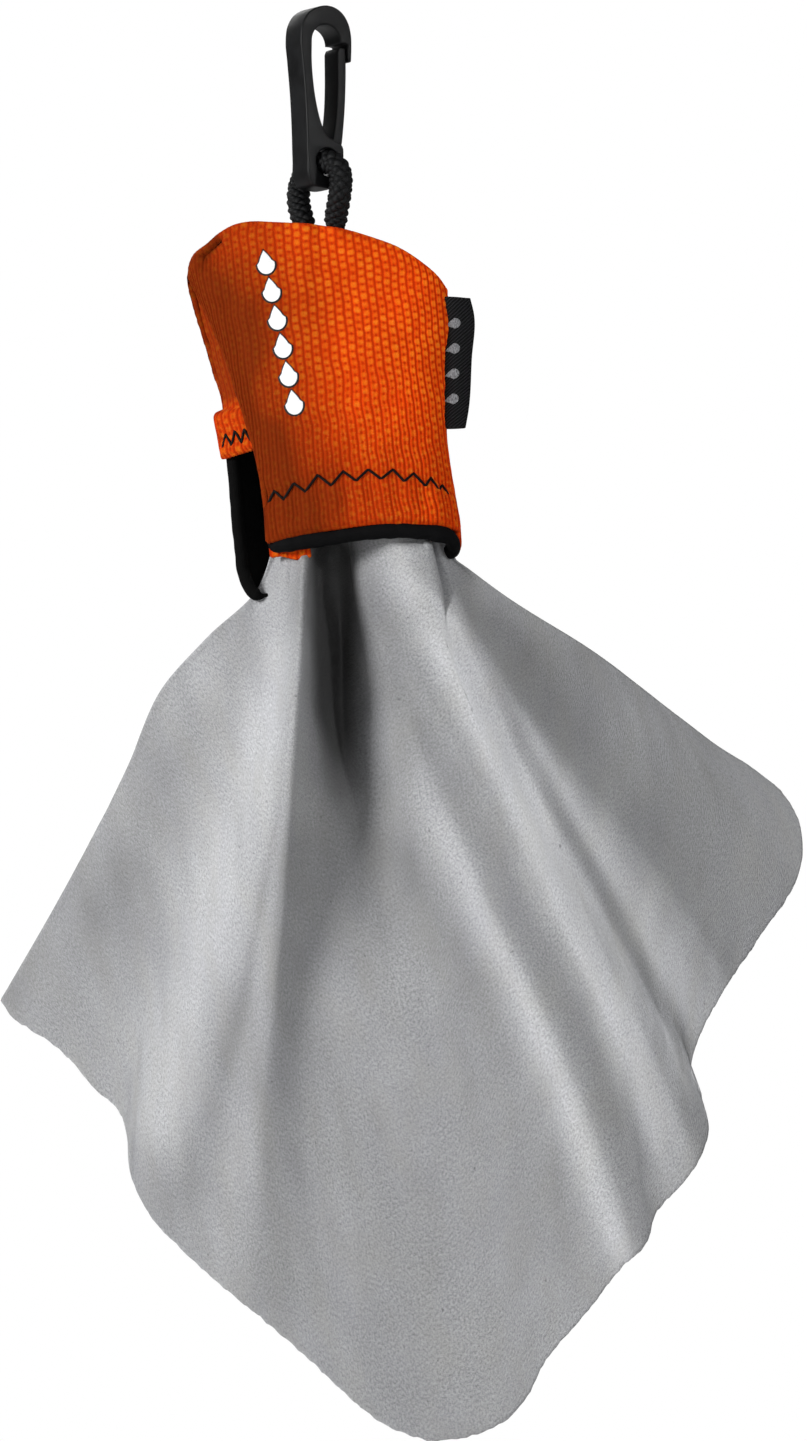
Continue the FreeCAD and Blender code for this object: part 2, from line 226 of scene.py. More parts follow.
def thick_shell(name, P, t_out, t_in, uv, attr=None, steps=4, sign=1.0):
    """Closed piece of cloth from a grid of middle points (n, m, 3), in mm.
    The outer face is t_out along the normal times sign, the inner t_in the
    other way, and the rim is rounded. uv is (n, m, 2) in mm."""
    n, m = P.shape[:2]
    N = grid_normals(P) * sign
    t_out = np.broadcast_to(np.asarray(t_out, float), (n, m))
    t_in = np.broadcast_to(np.asarray(t_in, float), (n, m))
    A = P + N * t_out[..., None]
    B = P - N * t_in[..., None]
    verts = [A.reshape(-1, 3), B.reshape(-1, 3)]
    uvs = [uv.reshape(-1, 2), uv.reshape(-1, 2)]
    ids = np.arange(n * m).reshape(n, m)
    a, b, c, d = ids[:-1, :-1], ids[1:, :-1], ids[1:, 1:], ids[:-1, 1:]
    quads = np.stack([a, b, c, d], -1).reshape(-1, 4)
    if sign < 0:
        quads = quads[:, ::-1]
    faces = quads.tolist() + (quads[:, ::-1] + n * m).tolist()
    ring = ([(i, 0) for i in range(n - 1)] + [(n - 1, j) for j in range(m - 1)]
            + [(i, m - 1) for i in range(n - 1, 0, -1)] + [(0, j) for j in range(m - 1, 0, -1)])
    ri = np.array([q[0] for q in ring])
    rj = np.array([q[1] for q in ring])
    ii = np.clip(ri, 1, n - 2)
    jj = np.clip(rj, 1, m - 2)
    M = (A[ri, rj] + B[ri, rj]) / 2
    h = (A[ri, rj] - B[ri, rj]) / 2
    r = np.linalg.norm(h, axis=1, keepdims=True)
    nn = h / (r + 1e-12)
    o = P[ri, rj] - P[ii, jj]
    o = o - nn * np.sum(o * nn, axis=1, keepdims=True)
    o = o / (np.linalg.norm(o, axis=1, keepdims=True) + 1e-12)
    R = len(ring)
    base = 2 * n * m
    loops = [ids[ri, rj]]
    for k in range(1, steps):
        f = math.pi * k / steps
        verts.append(M + nn * r * math.cos(f) + o * r * math.sin(f))
        uvs.append(uv[ri, rj])
        loops.append(base + np.arange(R))
        base += R
    loops.append(ids[ri, rj] + n * m)
    for q in range(len(loops) - 1):
        p0, p1 = loops[q], loops[q + 1]
        p0n, p1n = np.roll(p0, -1), np.roll(p1, -1)
        side = np.stack([p0, p0n, p1n, p1], -1)
        if sign > 0:
            side = side[:, ::-1]
        faces += side.tolist()
    V = np.concatenate(verts)
    U = np.concatenate(uvs)
    attrs = None
    if attr is not None:
        attrs = {}
        for kk, vv in attr.items():
            f = vv.reshape(-1)
            attrs[kk] = np.concatenate([f, f] + [vv[ri, rj]] * (steps - 1))
    return add_mesh(name, world(V), faces, U, attrs)


def tube(name, path, radius, sides=10, caps=True, closed=False, uv_scale=1.0, squash_y=None):
    """Round tube along points in mm (about the eye). radius may vary."""
    p = np.asarray(path, float)
    n = len(p)
    rad = np.broadcast_to(np.asarray(radius, float), (n,))
    t = np.gradient(p, axis=0)
    t /= np.linalg.norm(t, axis=1, keepdims=True) + 1e-12
    ref = np.array([0.0, 0.0, 1.0]) if abs(t[0][2]) < 0.9 else np.array([1.0, 0.0, 0.0])
    u = np.cross(t[0], ref)
    u /= np.linalg.norm(u)
    us = [u]
    for i in range(1, n):
        u = us[-1] - t[i] * np.dot(us[-1], t[i])
        u /= np.linalg.norm(u) + 1e-12
        us.append(u)
    us = np.array(us)
    vs = np.cross(t, us)
    ang = 2 * math.pi * np.arange(sides) / sides
    V = (p[:, None, :] + rad[:, None, None] * (us[:, None, :] * np.cos(ang)[None, :, None]
         + vs[:, None, :] * np.sin(ang)[None, :, None]))
    verts = V.reshape(-1, 3)
    L = np.r_[0, np.cumsum(np.linalg.norm(np.diff(p, axis=0), axis=1))]
    uv = np.stack([np.broadcast_to(np.arange(sides) / sides * 2 * math.pi * rad.mean(), (n, sides)),
                   np.broadcast_to(L[:, None], (n, sides))], -1).reshape(-1, 2)
    faces = []
    for i in range(n - 1):
        for j in range(sides):
            k = (j + 1) % sides
            faces.append((i * sides + j, i * sides + k, (i + 1) * sides + k, (i + 1) * sides + j))
    if caps:
        c0, c1 = len(verts), len(verts) + 1
        verts = np.concatenate([verts, [p[0] - t[0] * rad[0] * 0.6], [p[-1] + t[-1] * rad[-1] * 0.6]])
        uv = np.concatenate([uv, [uv[0]], [uv[-1]]])
        for j in range(sides):
            k = (j + 1) % sides
            faces.append((c0, k, j))
            faces.append((c1, (n - 1) * sides + j, (n - 1) * sides + k))
    return add_mesh(name, world(verts), faces, uv)


def join(name, obs):
    """Several meshes as one piece."""
    verts, faces, uvs = [], [], []
    base = 0
    for o in obs:
        me = o.data
        v = np.zeros(len(me.vertices) * 3)
        me.vertices.foreach_get("co", v)
        verts.append(v.reshape(-1, 3))
        for f in me.polygons:
            faces.append([base + i for i in f.vertices])
        idx = np.zeros(len(me.loops), dtype=np.int32)
        me.loops.foreach_get("vertex_index", idx)
        uv = np.zeros(len(me.loops) * 2, dtype=np.float32)
        me.uv_layers[0].data.foreach_get("uv", uv)
        per = np.zeros((len(me.vertices), 2))
        per[idx] = uv.reshape(-1, 2)
        uvs.append(per)
        base += len(me.vertices)
        bpy.data.objects.remove(o, do_unlink=True)
    return add_mesh(name, np.concatenate(verts), faces, np.concatenate(uvs))


# ------------------------------------------------------------------ materials
def srgb(r, g, b):
    def f(c):
        c /= 255.0
        return c / 12.92 if c <= 0.04045 else ((c + 0.055) / 1.055) ** 2.4
    return (f(r), f(g), f(b), 1.0)


class Mat:
    def __init__(self, name):
        self.m = bpy.data.materials.new(name)
        self.m.use_nodes = True
        self.t = self.m.node_tree
        self.b = self.t.nodes["Principled BSDF"]
        self.uv = None

    def node(self, kind, **kw):
        n = self.t.nodes.new(kind)
        for k, v in kw.items():
            setattr(n, k, v)
        return n

    def link(self, a, b):
        self.t.links.new(a, b)

    def coords(self):
        if self.uv is None:
            n = self.node("ShaderNodeUVMap")
            n.uv_map = "UVMap"
            self.uv = n.outputs[0]
        return self.uv

    def obj(self):
        return self.node("ShaderNodeTexCoord").outputs["Object"]

    def scaled(self, src, s):
        n = self.node("ShaderNodeMapping")
        n.inputs["Scale"].default_value = s
        self.link(src, n.inputs["Vector"])
        return n.outputs[0]

    def noise(self, src, scale, detail=4.0, rough=0.6, dist=0.0):
        n = self.node("ShaderNodeTexNoise")
        n.inputs["Scale"].default_value = scale
        n.inputs["Detail"].default_value = detail
        n.inputs["Roughness"].default_value = rough
        n.inputs["Distortion"].default_value = dist
        self.link(src, n.inputs["Vector"])
        return n.outputs["Fac"]

    def ramp(self, src, stops):
        n = self.node("ShaderNodeValToRGB")
        e = n.color_ramp.elements
        while len(e) < len(stops):
            e.new(0.5)
        for q, (p, c) in zip(e, stops):
            q.position = p
            q.color = c if hasattr(c, "__len__") else (c, c, c, 1)
        self.link(src, n.inputs[0])
        return n.outputs[0]

    def math(self, op, a, b=None, clamp=False):
        n = self.node("ShaderNodeMath", operation=op, use_clamp=clamp)
        for i, x in enumerate((a, b)):
            if x is None:
                continue
            if isinstance(x, (int, float)):
                n.inputs[i].default_value = x
            else:
                self.link(x, n.inputs[i])
        return n.outputs[0]

    def mix(self, fac, a, b, blend="MIX"):
        n = self.node("ShaderNodeMix", data_type="RGBA", blend_type=blend)
        for i, x in ((0, fac), (6, a), (7, b)):
            if isinstance(x, (int, float, tuple)):
                n.inputs[i].default_value = x
            else:
                self.link(x, n.inputs[i])
        return n.outputs[2]

    def bump(self, height, dist, strength=1.0, chain=None):
        n = self.node("ShaderNodeBump")
        n.inputs["Strength"].default_value = strength
        n.inputs["Distance"].default_value = dist
        self.link(height, n.inputs["Height"])
        if chain is not None:
            self.link(chain, n.inputs["Normal"])
        return n.outputs[0]

    def set(self, **kw):
        names = {"rough": "Roughness", "spec": "Specular IOR Level", "sheen": "Sheen Weight",
                 "sheen_rough": "Sheen Roughness", "color": "Base Color", "normal": "Normal",
                 "coat": "Coat Weight", "coat_rough": "Coat Roughness", "sheen_tint": "Sheen Tint"}
        for k, v in kw.items():
            s = self.b.inputs[names[k]]
            if isinstance(v, (int, float, tuple)):
                s.default_value = v
            else:
                self.link(v, s)


def finish_piece(ob, mat, body=None, replaces=()):
    ob.data.materials.clear()
    ob.data.materials.append(mat.m if isinstance(mat, Mat) else mat)
    if body:
        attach(ob, body)
    if replaces:
        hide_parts(*replaces)
    return ob


# ================================================================== materials
def make_knit(name="knit_orange"):
    m = Mat(name)
    uv = m.coords()
    att = m.node("ShaderNodeAttribute")
    att.attribute_name = "knit"
    h = att.outputs["Fac"]
    flo = m.node("ShaderNodeAttribute")
    flo.attribute_name = "float"
    painted_shade = m.node("ShaderNodeAttribute")
    painted_shade.attribute_name = "painted_shade"
    broad = m.noise(uv, 0.10, 3, 0.5)
    fleck = m.noise(m.scaled(uv, (0.62, 1.5, 1.0)), 1.15, 3, 0.6)
    fibre = m.noise(m.scaled(uv, (1.0, 0.35, 1.0)), 7.0, 3, 0.7)
    base = m.mix(m.ramp(h, [(0.05, 0.0), (0.50, 1.0)]), srgb(176, 42, 0), srgb(236, 68, 0))
    base = m.mix(m.math("MULTIPLY", m.ramp(flo.outputs["Fac"], [(0.28, 0.0), (0.80, 1.0)]), 0.85), base, srgb(250, 130, 22))
    pale = m.math("MULTIPLY", m.ramp(fleck, [(0.50, 0.0), (0.64, 1.0)]), m.ramp(h, [(0.3, 0.0), (0.8, 1.0)]))
    base = m.mix(m.math("MULTIPLY", pale, 0.50), base, srgb(244, 150, 48))
    base = m.mix(m.math("MULTIPLY", m.ramp(broad, [(0.35, 0.0), (0.7, 1.0)]), 0.25), base, srgb(222, 48, 0))
    base = m.mix(m.math("MULTIPLY", m.ramp(fibre, [(0.35, 1.0), (0.6, 0.0)]), 0.30), base, srgb(170, 48, 0))
    # Painted shade: where the per-vertex shade value is high the orange is darkened towards a deep brown, on the
    # pouch's left side and lower part, its puckered corner, the gusset and the turned hem in the mouth.
    base = m.mix(m.math("MULTIPLY", painted_shade.outputs["Fac"], 0.9, True), base, srgb(92, 31, 0))
    m.set(color=base, rough=0.9, spec=0.08, normal=m.bump(fibre, 0.00008, 0.7))
    return m


def make_black(name, rgb=(17, 17, 18), scale=3.0, dist=0.00006, rough=0.85, sheen=0.1):
    m = Mat(name)
    uv = m.coords()
    f = m.noise(m.scaled(uv, (1.0, 0.5, 1.0)), scale, 4, 0.65)
    b = m.noise(uv, 0.2, 2, 0.5)
    c = m.mix(m.ramp(f, [(0.35, 0.0), (0.75, 1.0)]), srgb(*[v * 0.55 for v in rgb]), srgb(*[v * 1.5 for v in rgb]))
    c = m.mix(m.math("MULTIPLY", b, 0.3), c, srgb(*[v * 0.8 for v in rgb]))
    m.set(color=c, rough=rough, spec=0.10, sheen=sheen, sheen_rough=0.4, normal=m.bump(f, dist, 0.8))
    return m


def make_twill(name="label_black"):
    m = Mat(name)
    uv = m.coords()
    rot = m.node("ShaderNodeMapping")
    rot.inputs["Rotation"].default_value = (0, 0, math.radians(52))
    rot.inputs["Scale"].default_value = (1.0, 1.0, 1.0)
    m.link(uv, rot.inputs["Vector"])
    w = m.node("ShaderNodeTexWave", wave_type="BANDS", bands_direction="X", wave_profile="SIN")
    w.inputs["Scale"].default_value = 0.62
    w.inputs["Distortion"].default_value = 1.2
    w.inputs["Detail"].default_value = 2.0
    w.inputs["Detail Scale"].default_value = 2.5
    m.link(rot.outputs[0], w.inputs["Vector"])
    f = m.noise(uv, 5.0, 3, 0.6)
    h = m.math("MULTIPLY_ADD", f, 0.4)
    m.link(w.outputs["Fac"], h.node.inputs[2])
    c = m.mix(m.ramp(h, [(0.35, 0.0), (1.0, 1.0)]), srgb(2, 2, 2), srgb(30, 30, 32))
    m.set(color=c, rough=0.6, spec=0.12, sheen=0.0, normal=m.bump(h, 0.00020, 1.0))
    return m


def make_cloth(name="cloth_grey"):
    m = Mat(name)
    uv = m.coords()
    att = m.node("ShaderNodeAttribute")
    att.attribute_name = "nap_and_painted_light"
    painted_fold_shade = att.outputs["Fac"]
    nap_and_painted_light = m.noise(uv, 2.2, 5, 0.72)
    grain = m.noise(m.scaled(uv, (1.0, 1.6, 1.0)), 5.0, 3, 0.65)
    patch = m.noise(uv, 0.05, 3, 0.55)
    warm = m.noise(m.scaled(uv, (1.3, 0.8, 1.0)), 0.09, 3, 0.6)
    rot = m.node("ShaderNodeMapping")
    rot.inputs["Rotation"].default_value = (0, 0, math.radians(24))
    m.link(uv, rot.inputs["Vector"])
    w = m.node("ShaderNodeTexWave", wave_type="BANDS", bands_direction="Y", wave_profile="SIN")
    w.inputs["Scale"].default_value = 0.55
    w.inputs["Distortion"].default_value = 3.6
    w.inputs["Detail"].default_value = 3.0
    w.inputs["Detail Scale"].default_value = 2.2
    w.inputs["Detail Roughness"].default_value = 0.6
    m.link(rot.outputs[0], w.inputs["Vector"])
    speck = m.noise(uv, 0.9, 2, 0.5)
    c = m.mix(m.ramp(nap_and_painted_light, [(0.36, 0.0), (0.64, 1.0)]), srgb(130, 131, 133), srgb(204, 205, 207))
    c = m.mix(m.math("MULTIPLY", m.ramp(grain, [(0.48, 0.0), (0.66, 1.0)]), 0.6), c, srgb(224, 225, 227))
    c = m.mix(m.math("MULTIPLY", m.ramp(patch, [(0.35, 0.0), (0.7, 1.0)]), 0.28), c, srgb(172, 172, 180))
    c = m.mix(m.math("MULTIPLY", m.ramp(warm, [(0.45, 0.0), (0.72, 1.0)]), 0.30), c, srgb(178, 176, 168))
    c = m.mix(m.math("MULTIPLY", w.outputs["Fac"], 0.06), c, srgb(128, 129, 133))
    # Painted shade and highlight: the per-vertex fold value darkens the grey in the cloth's hollows and on its right
    # wing, down to near black in the deepest hollow under the mouth; where the value is low the ridges stay light as
    # painted highlights.
    c = m.mix(m.math("MULTIPLY", painted_fold_shade, 0.92), c, srgb(66, 66, 66))
    c = m.mix(m.math("MULTIPLY", m.ramp(painted_fold_shade, [(0.72, 0.0), (0.98, 1.0)]), 0.75), c, srgb(24, 24, 24))
    c = m.mix(m.math("MULTIPLY", m.ramp(speck, [(0.71, 0.0), (0.77, 1.0)]), 0.6), c, srgb(70, 70, 74))
    hh = m.math("ADD", m.math("MULTIPLY", nap_and_painted_light, 0.8), m.math("MULTIPLY", w.outputs["Fac"], 0.10))
    hh = m.math("ADD", hh, m.math("MULTIPLY", grain, 0.3))
    m.set(color=c, rough=0.5, spec=0.42, sheen=0.15, sheen_rough=0.35, normal=m.bump(hh, 0.00020, 0.9))
    return m


def make_plastic(name="hook_plastic"):
    m = Mat(name)
    o = m.obj()
    f = m.noise(o, 5200.0, 3, 0.6)
    g = m.noise(o, 260.0, 4, 0.6)
    c = m.mix(m.ramp(g, [(0.35, 0.0), (0.75, 1.0)]), srgb(3, 3, 4), srgb(10, 11, 13))
    r = m.ramp(g, [(0.3, 0.42), (0.7, 0.56)])
    m.set(color=c, rough=r, spec=0.22, normal=m.bump(f, 0.00002, 0.5))
    return m


def make_cord(name="cord_black"):
    m = Mat(name)
    att = m.node("ShaderNodeAttribute")
    att.attribute_name = "knit"
    uv = m.coords()
    f = m.noise(m.scaled(uv, (1.0, 1.0, 1.0)), 6.0, 3, 0.7)
    h = m.math("ADD", m.math("MULTIPLY", att.outputs["Fac"], 0.8), m.math("MULTIPLY", f, 0.4))
    c = m.mix(m.ramp(h, [(0.35, 0.0), (1.0, 1.0)]), srgb(1, 1, 1), srgb(13, 14, 16))
    m.set(color=c, rough=0.6, spec=0.18, sheen=0.0, normal=m.bump(f, 0.00005, 0.8))
    return m


def make_print(name, rgb):
    m = Mat(name)
    uv = m.coords()
    f = m.noise(uv, 3.0, 3, 0.6)
    c = m.mix(m.ramp(f, [(0.3, 0.0), (0.7, 1.0)]), srgb(*[v * 0.93 for v in rgb]), srgb(*rgb))
    m.set(color=c, rough=0.55, spec=0.35, normal=m.bump(f, 0.00003, 0.6))
    return m


KNIT = make_knit()
LINING = make_black("lining_black", (6, 6, 6), 2.2, 0.00008, 0.95, 0.0)
BINDING = make_black("binding_black", (5, 5, 6), 3.0, 0.00010, 0.8, 0.0)
THREAD = make_black("thread_black", (14, 10, 9), 9.0, 0.00004, 0.6, 0.0)
LABEL = make_twill()
CLOTH = make_cloth()
HOOK = make_plastic()
CORD = make_cord()
WHITE = make_print("print_white", (244, 244, 244))
INK = make_print("print_ink", (7, 5, 5))
GREYTHREAD = make_black("label_mark_grey", (112, 112, 114), 4.0, 0.00008, 0.7, 0.0)

# ================================================================== pouch form
LV = np.array([
    (-8.4, -16.4, -12.4, 0.5),
    (-8.75, -17.2, -11.2, 1.0),
    (-9.6, -18.9, -6.6, 1.35),
    (-11.0, -21.0, -0.4, 1.6),
    (-12.4, -23.2, 4.6, 1.9),
    (-14.1, -24.8, 8.6, 2.3),
    (-16.7, -25.6, 13.0, 3.0),
    (-20.5, -25.4, 17.2, 4.0),
    (-25.0, -24.6, 20.0, 5.0),
    (-31.0, -23.7, 20.0, 5.9),
    (-38.0, -23.0, 18.7, 6.5),
    (-46.0, -22.8, 17.6, 6.8),
    (-55.0, -22.8, 17.2, 6.9),
    (-64.0, -22.9, 17.6, 6.9),
    (-71.0, -22.7, 17.8, 6.8),
    (-79.0, -22.3, 17.6, 6.6)])


def form(z):
    z = np.asarray(z, float)
    f = pchip(-LV[:, 0], LV[:, 1:], np.clip(-z.ravel(), -LV[0, 0], -LV[-1, 0]))
    return [f[:, i].reshape(z.shape) for i in range(3)]


def half_depth(x, z, inset=0.0):
    x0, x1, b = form(z)
    xc, w = (x0 + x1) / 2, (x1 - x0) / 2
    q = np.clip(1 - ((x - xc) / (w + 0.15)) ** 2, 0, 1)
    y = np.clip(b - inset, 0.05, None) * np.sqrt(q)
    # the two lips of the top seam open round the cord's legs
    lips = (np.exp(-((x + 3.95) / 2.3) ** 2 - (np.minimum(z + 10.2, 0) / 3.4) ** 2)
            + np.exp(-((x - 1.5) / 2.3) ** 2 - (np.minimum(z + 11.5, 0) / 3.4) ** 2))
    return y + 1.3 * lips


def coons(T, B, L, R, a, b):
    """Grid (len(b), len(a), 2) between four border curves of (x, z)."""
    t, bo = curve(T, a), curve(B, a)
    l, r = curve(L, b), curve(R, b)
    A = a[None, :, None]
    Bv = b[:, None, None]
    S = (1 - Bv) * t[None] + Bv * bo[None] + (1 - A) * l[:, None] + A * r[:, None]
    S -= ((1 - A) * (1 - Bv) * t[0] + A * (1 - Bv) * t[-1] + (1 - A) * Bv * bo[0] + A * Bv * bo[-1])
    return S


def dense_ends(n, k=0.75):
    t = np.linspace(0, 1, n)
    return (1 - k) * t + k * 0.5 * (1 - np.cos(math.pi * t))


def knit_height(U, V, rib=0.5):
    """Stretch knit: fine ribs under a basket of raised floats."""
    wu = 0.22 * noise2(U, V, 9.0, 5)
    wv = 0.20 * noise2(U, V, 7.0, 8)
    u = (U + wu) / 0.80
    v = (V + wv) / 1.50
    fu = u - np.floor(u)
    ribs = 0.5 - 0.5 * np.cos(2 * math.pi * fu)
    fine = 0.5 + 0.5 * np.sin(2 * math.pi * ((V + wv) / 0.50 + 0.35 * np.sin(math.pi * fu)))
    cu = u / 2.0
    col = np.floor(cu)
    fc = cu - col
    vv = v + 0.5 * (col % 2)
    row = np.floor(vv)
    fv = vv - row
    rnd = np.sin(col * 12.9898 + row * 78.233) * 43758.5453
    keep = 0.55 + 0.45 * (rnd - np.floor(rnd))
    floats = keep * (np.sin(math.pi * fc) ** 0.9) * (np.sin(math.pi * fv) ** 0.9)
    h = (0.16 + 0.52 * rib) * ribs + (0.72 - 0.48 * rib) * floats + 0.08 * fine
    return np.clip(h / 0.95, 0, 1), np.clip(floats * (1.15 - 0.45 * rib), 0, 1)


def seg_dist(x, z, p, q):
    d = np.array(q) - np.array(p)
    t = np.clip(((x - p[0]) * d[0] + (z - p[1]) * d[1]) / np.dot(d, d), 0, 1)
    return np.hypot(x - p[0] - t * d[0], z - p[1] - t * d[1])


TOP = [(-25.5, -18.0), (-25.3, -15.4), (-24.3, -13.4), (-21.8, -11.7), (-18.9, -9.7), (-16.6, -8.8),
       (-14.2, -8.55), (-9.6, -9.1), (-5.0, -9.9), (-0.2, -11.0), (3.9, -12.2), (8.1, -14.0),
       (11.8, -15.9), (15.6, -18.9), (18.7, -22.4), (20.0, -24.9)]
RIGHT_F = [(20.0, -24.9), (20.3, -27.4), (19.7, -32.3), (18.7, -38.5), (17.7, -44.8), (17.1, -51.9),
           (17.2, -57.6), (17.5, -62.6), (17.9, -68.9)]
FRONT_HEM = [(-16.2, -68.0), (-9.2, -67.3), (-3.0, -66.95), (3.5, -66.8), (9.0, -67.3), (14.2, -68.0), (17.9, -68.9)]
LEFT_F = [(-25.5, -18.0), (-24.3, -21.6), (-22.4, -26.6), (-20.8, -32.4), (-19.3, -38.6), (-17.9, -45.4),
          (-16.6, -52.2), (-16.0, -60.4), (-16.2, -68.0)]
ZIG_F = [(-15.4, -60.65), (-14.2, -58.8), (-12.7, -60.6), (-10.6, -57.9),
         (-8.7, -59.7), (-6.2, -56.9), (-4.0, -59.1), (-1.6, -56.7),
         (0.5, -58.7), (2.9, -56.8), (5.0, -58.8), (7.3, -57.2),
         (9.1, -59.6), (10.9, -58.2), (12.8, -60.7), (13.9, -59.2),
         (15.1, -61.5), (15.8, -60.6), (16.7, -62.3)]
zx = np.array([q[0] for q in ZIG_F])
zz = np.array([q[1] for q in ZIG_F])
zmid_x = (zx[:-1] + zx[1:]) / 2
zmid_z = (zz[:-1] + zz[1:]) / 2


def zig_line(x):
    return pchip(np.r_[-26, zmid_x, 19], np.r_[-60.4, zmid_z, -61.9], np.clip(x.ravel(), -25.9, 18.9)).reshape(x.shape)


def front_relief(x, z):
    """Soft forms of the front, in mm towards the viewer."""
    r = 0.22 * noise2(x, z, 17.0, 21, 2)
    d = z - zig_line(x)
    r += 0.30 / (1 + np.exp(d / 0.35))                      # hem is two layers
    r -= 0.38 * np.exp(-(d / 1.5) ** 2)                     # pulled in by the stitch
    r += 0.11 * np.sin(2 * math.pi * x / 4.45 + 0.6) * np.exp(-((d + 3.0) / 4.0) ** 2)
    # puckered corner
    dd = seg_dist(x, z, (-22.4, -14.6), (-19.6, -12.1))
    r -= 1.25 * np.exp(-(dd / 0.85) ** 2)
    r += 0.55 * np.exp(-(seg_dist(x, z, (-23.9, -16.2), (-20.9, -11.9)) / 1.1) ** 2)
    r -= 0.35 * np.exp(-(seg_dist(x, z, (-20.6, -17.2), (-17.4, -12.6)) / 1.6) ** 2)
    # long soft crease beside the gusset
    r -= 0.45 * np.exp(-(seg_dist(x, z, (-19.2, -24.0), (-15.6, -47.0)) / 1.7) ** 2)
    # slight tension folds off the cord
    r += 0.20 * np.exp(-(seg_dist(x, z, (-3.0, -13.0), (-6.5, -30.0)) / 1.8) ** 2)
    r -= 0.16 * np.exp(-(seg_dist(x, z, (1.0, -14.0), (3.5, -30.0)) / 1.8) ** 2)
    return r


def edge_fade(n, m, w=5):
    i = np.minimum(np.arange(n), np.arange(n)[::-1])
    j = np.minimum(np.arange(m), np.arange(m)[::-1])
    f = np.clip(np.minimum(i[:, None], j[None, :]) / w, 0, 1)
    return f * f * (3 - 2 * f)


FINE = 1.0


RIM = 0.50


def panel(name, T, B, L, R, side, n, m, relief, painted_shade=None, inset=0.0, t=(0.55, 0.55), rib=None, seam=0.12):
    n, m = int(n * FINE), int(m * FINE)
    a, b = dense_ends(m), np.linspace(0, 1, n)
    # the rim is rounded outwards, so the border is drawn in by its radius
    a = RIM / 41.0 + a * (1 - 2 * RIM / 41.0)
    b = RIM / 57.0 + b * (1 - 2 * RIM / 57.0)
    S = coons(T, B, L, R, a, b)
    x, z = S[..., 0], S[..., 1]
    y = half_depth(x, z, inset)
    y = np.maximum(y - t[0], 0) + seam
    P = np.stack([x, side * y, z], -1)
    N = grid_normals(P)
    sgn = -1.0 if np.mean(N[..., 1]) * side < 0 else 1.0
    N = N * sgn
    du = np.linalg.norm(np.diff(P, axis=1), axis=2)
    U = np.concatenate([np.zeros((n, 1)), np.cumsum(du, axis=1)], 1)
    mid = m // 2
    U = U - U[:, mid:mid + 1] + x[:, mid:mid + 1]
    Vv = z.copy()
    fade = edge_fade(n, m, 6)
    if relief is not None:
        P = P + N * (relief(x, z) * fade)[..., None]
    k, f = knit_height(U, Vv, rib(x, z) if rib is not None else 0.5)
    out_t = t[0] + 0.17 * (k - 0.5) * (0.35 + 0.65 * fade)
    # the painted shade values for the knit's colour
    painted_shade_grid = painted_shade(x, z) if painted_shade is not None else np.zeros_like(x)
    return thick_shell(name, P, out_t, t[1], np.stack([U, Vv], -1), {"knit": k, "float": f, "painted_shade": painted_shade_grid}, 4, sgn)


def rib_front(x, z):
    """Ribs show more where the knit is stretched: low down and to the left."""
    return np.clip(0.25 + 0.9 * np.clip((-34 - z) / 26.0, 0, 1) + 0.55 * np.clip((-4 - x) / 14.0, 0, 1), 0, 1)


# Painted shade on the front panel: darker towards its left side and its lower part, lighter only on the right beyond x
# = 13 mm, dark along the puckered corner's crease and near the corner's edge, with a little random variation.
def painted_shade_front(x, z):
    t = 0.96 * np.clip((1.5 - x) / 20.0, 0, 1) ** 1.05
    t *= 0.55 + 0.45 * np.clip((-14.0 - z) / 10.0, 0, 1)
    t += 0.17 * np.clip((13.0 - x) / 9.0, 0, 1)
    t += 0.75 * np.exp(-(seg_dist(x, z, (-22.2, -14.4), (-19.8, -12.3)) / 0.8) ** 2)
    t += 0.30 * np.exp(-(seg_dist(x, z, (-24.6, -17.5), (-23.4, -15.0)) / 1.3) ** 2)
    t += 0.40 * np.clip((-44.0 - z) / 16.0, 0, 1) * (1 - 0.4 * np.clip((x + 2) / 18.0, 0, 1))
    t += 0.06 * noise2(x, z, 13.0, 61, 2)
    return np.clip(t, 0, 1)


front = panel("pouch_front", TOP, FRONT_HEM, LEFT_F, RIGHT_F, -1, 420, 300, front_relief, painted_shade_front, rib=rib_front)
finish_piece(front, KNIT, "pouch", ["front_panel"])

RIGHT_B = RIGHT_F[:-1] + [(17.8, -68.0), (17.5, -72.2)]
LEFT_B = [(-25.5, -18.0), (-25.2, -21.4), (-24.0, -27.7), (-22.7, -34.8), (-21.9, -40.0), (-21.3, -45.0), (-21.2, -51.0),
          (-21.2, -60.0), (-21.2, -67.3), (-21.0, -71.6), (-20.6, -74.2)]
BACK_HEM = [(-20.6, -74.2), (-20.1, -75.6), (-19.2, -76.2), (-17.6, -76.3), (-12.0, -75.6), (-4.0, -74.4), (8.0, -73.1), (17.5, -72.2)]


def back_relief(x, z):
    r = 0.28 * noise2(x, z, 16.0, 33, 2)
    line = -64.4 - (15.4 - x) / 35.5 * 2.6
    d = z - line
    r += 0.30 / (1 + np.exp(d / 0.35)) - 0.35 * np.exp(-(d / 1.5) ** 2)
    r -= 0.8 * np.exp(-(seg_dist(x, z, (-22.6, -14.8), (-19.6, -12.4)) / 0.8) ** 2)
    return r


# Painted shade on the back panel: darker towards both sides, and strongly along its left edge.
def painted_shade_back(x, z):
    return np.clip(0.20 * np.clip(np.abs(x + 2.5) / 22.0, 0, 1) ** 3 + 0.75 * np.clip((-17.5 - x) / 4.0, 0, 1), 0, 1)


back = panel("pouch_back", TOP, BACK_HEM, LEFT_B, RIGHT_B, 1, 400, 280, back_relief, painted_shade_back, rib=lambda x, z: np.clip(0.35 + 0.6 * np.clip((-34 - z) / 26.0, 0, 1), 0, 1))
finish_piece(back, KNIT, "pouch", ["back_panel"])


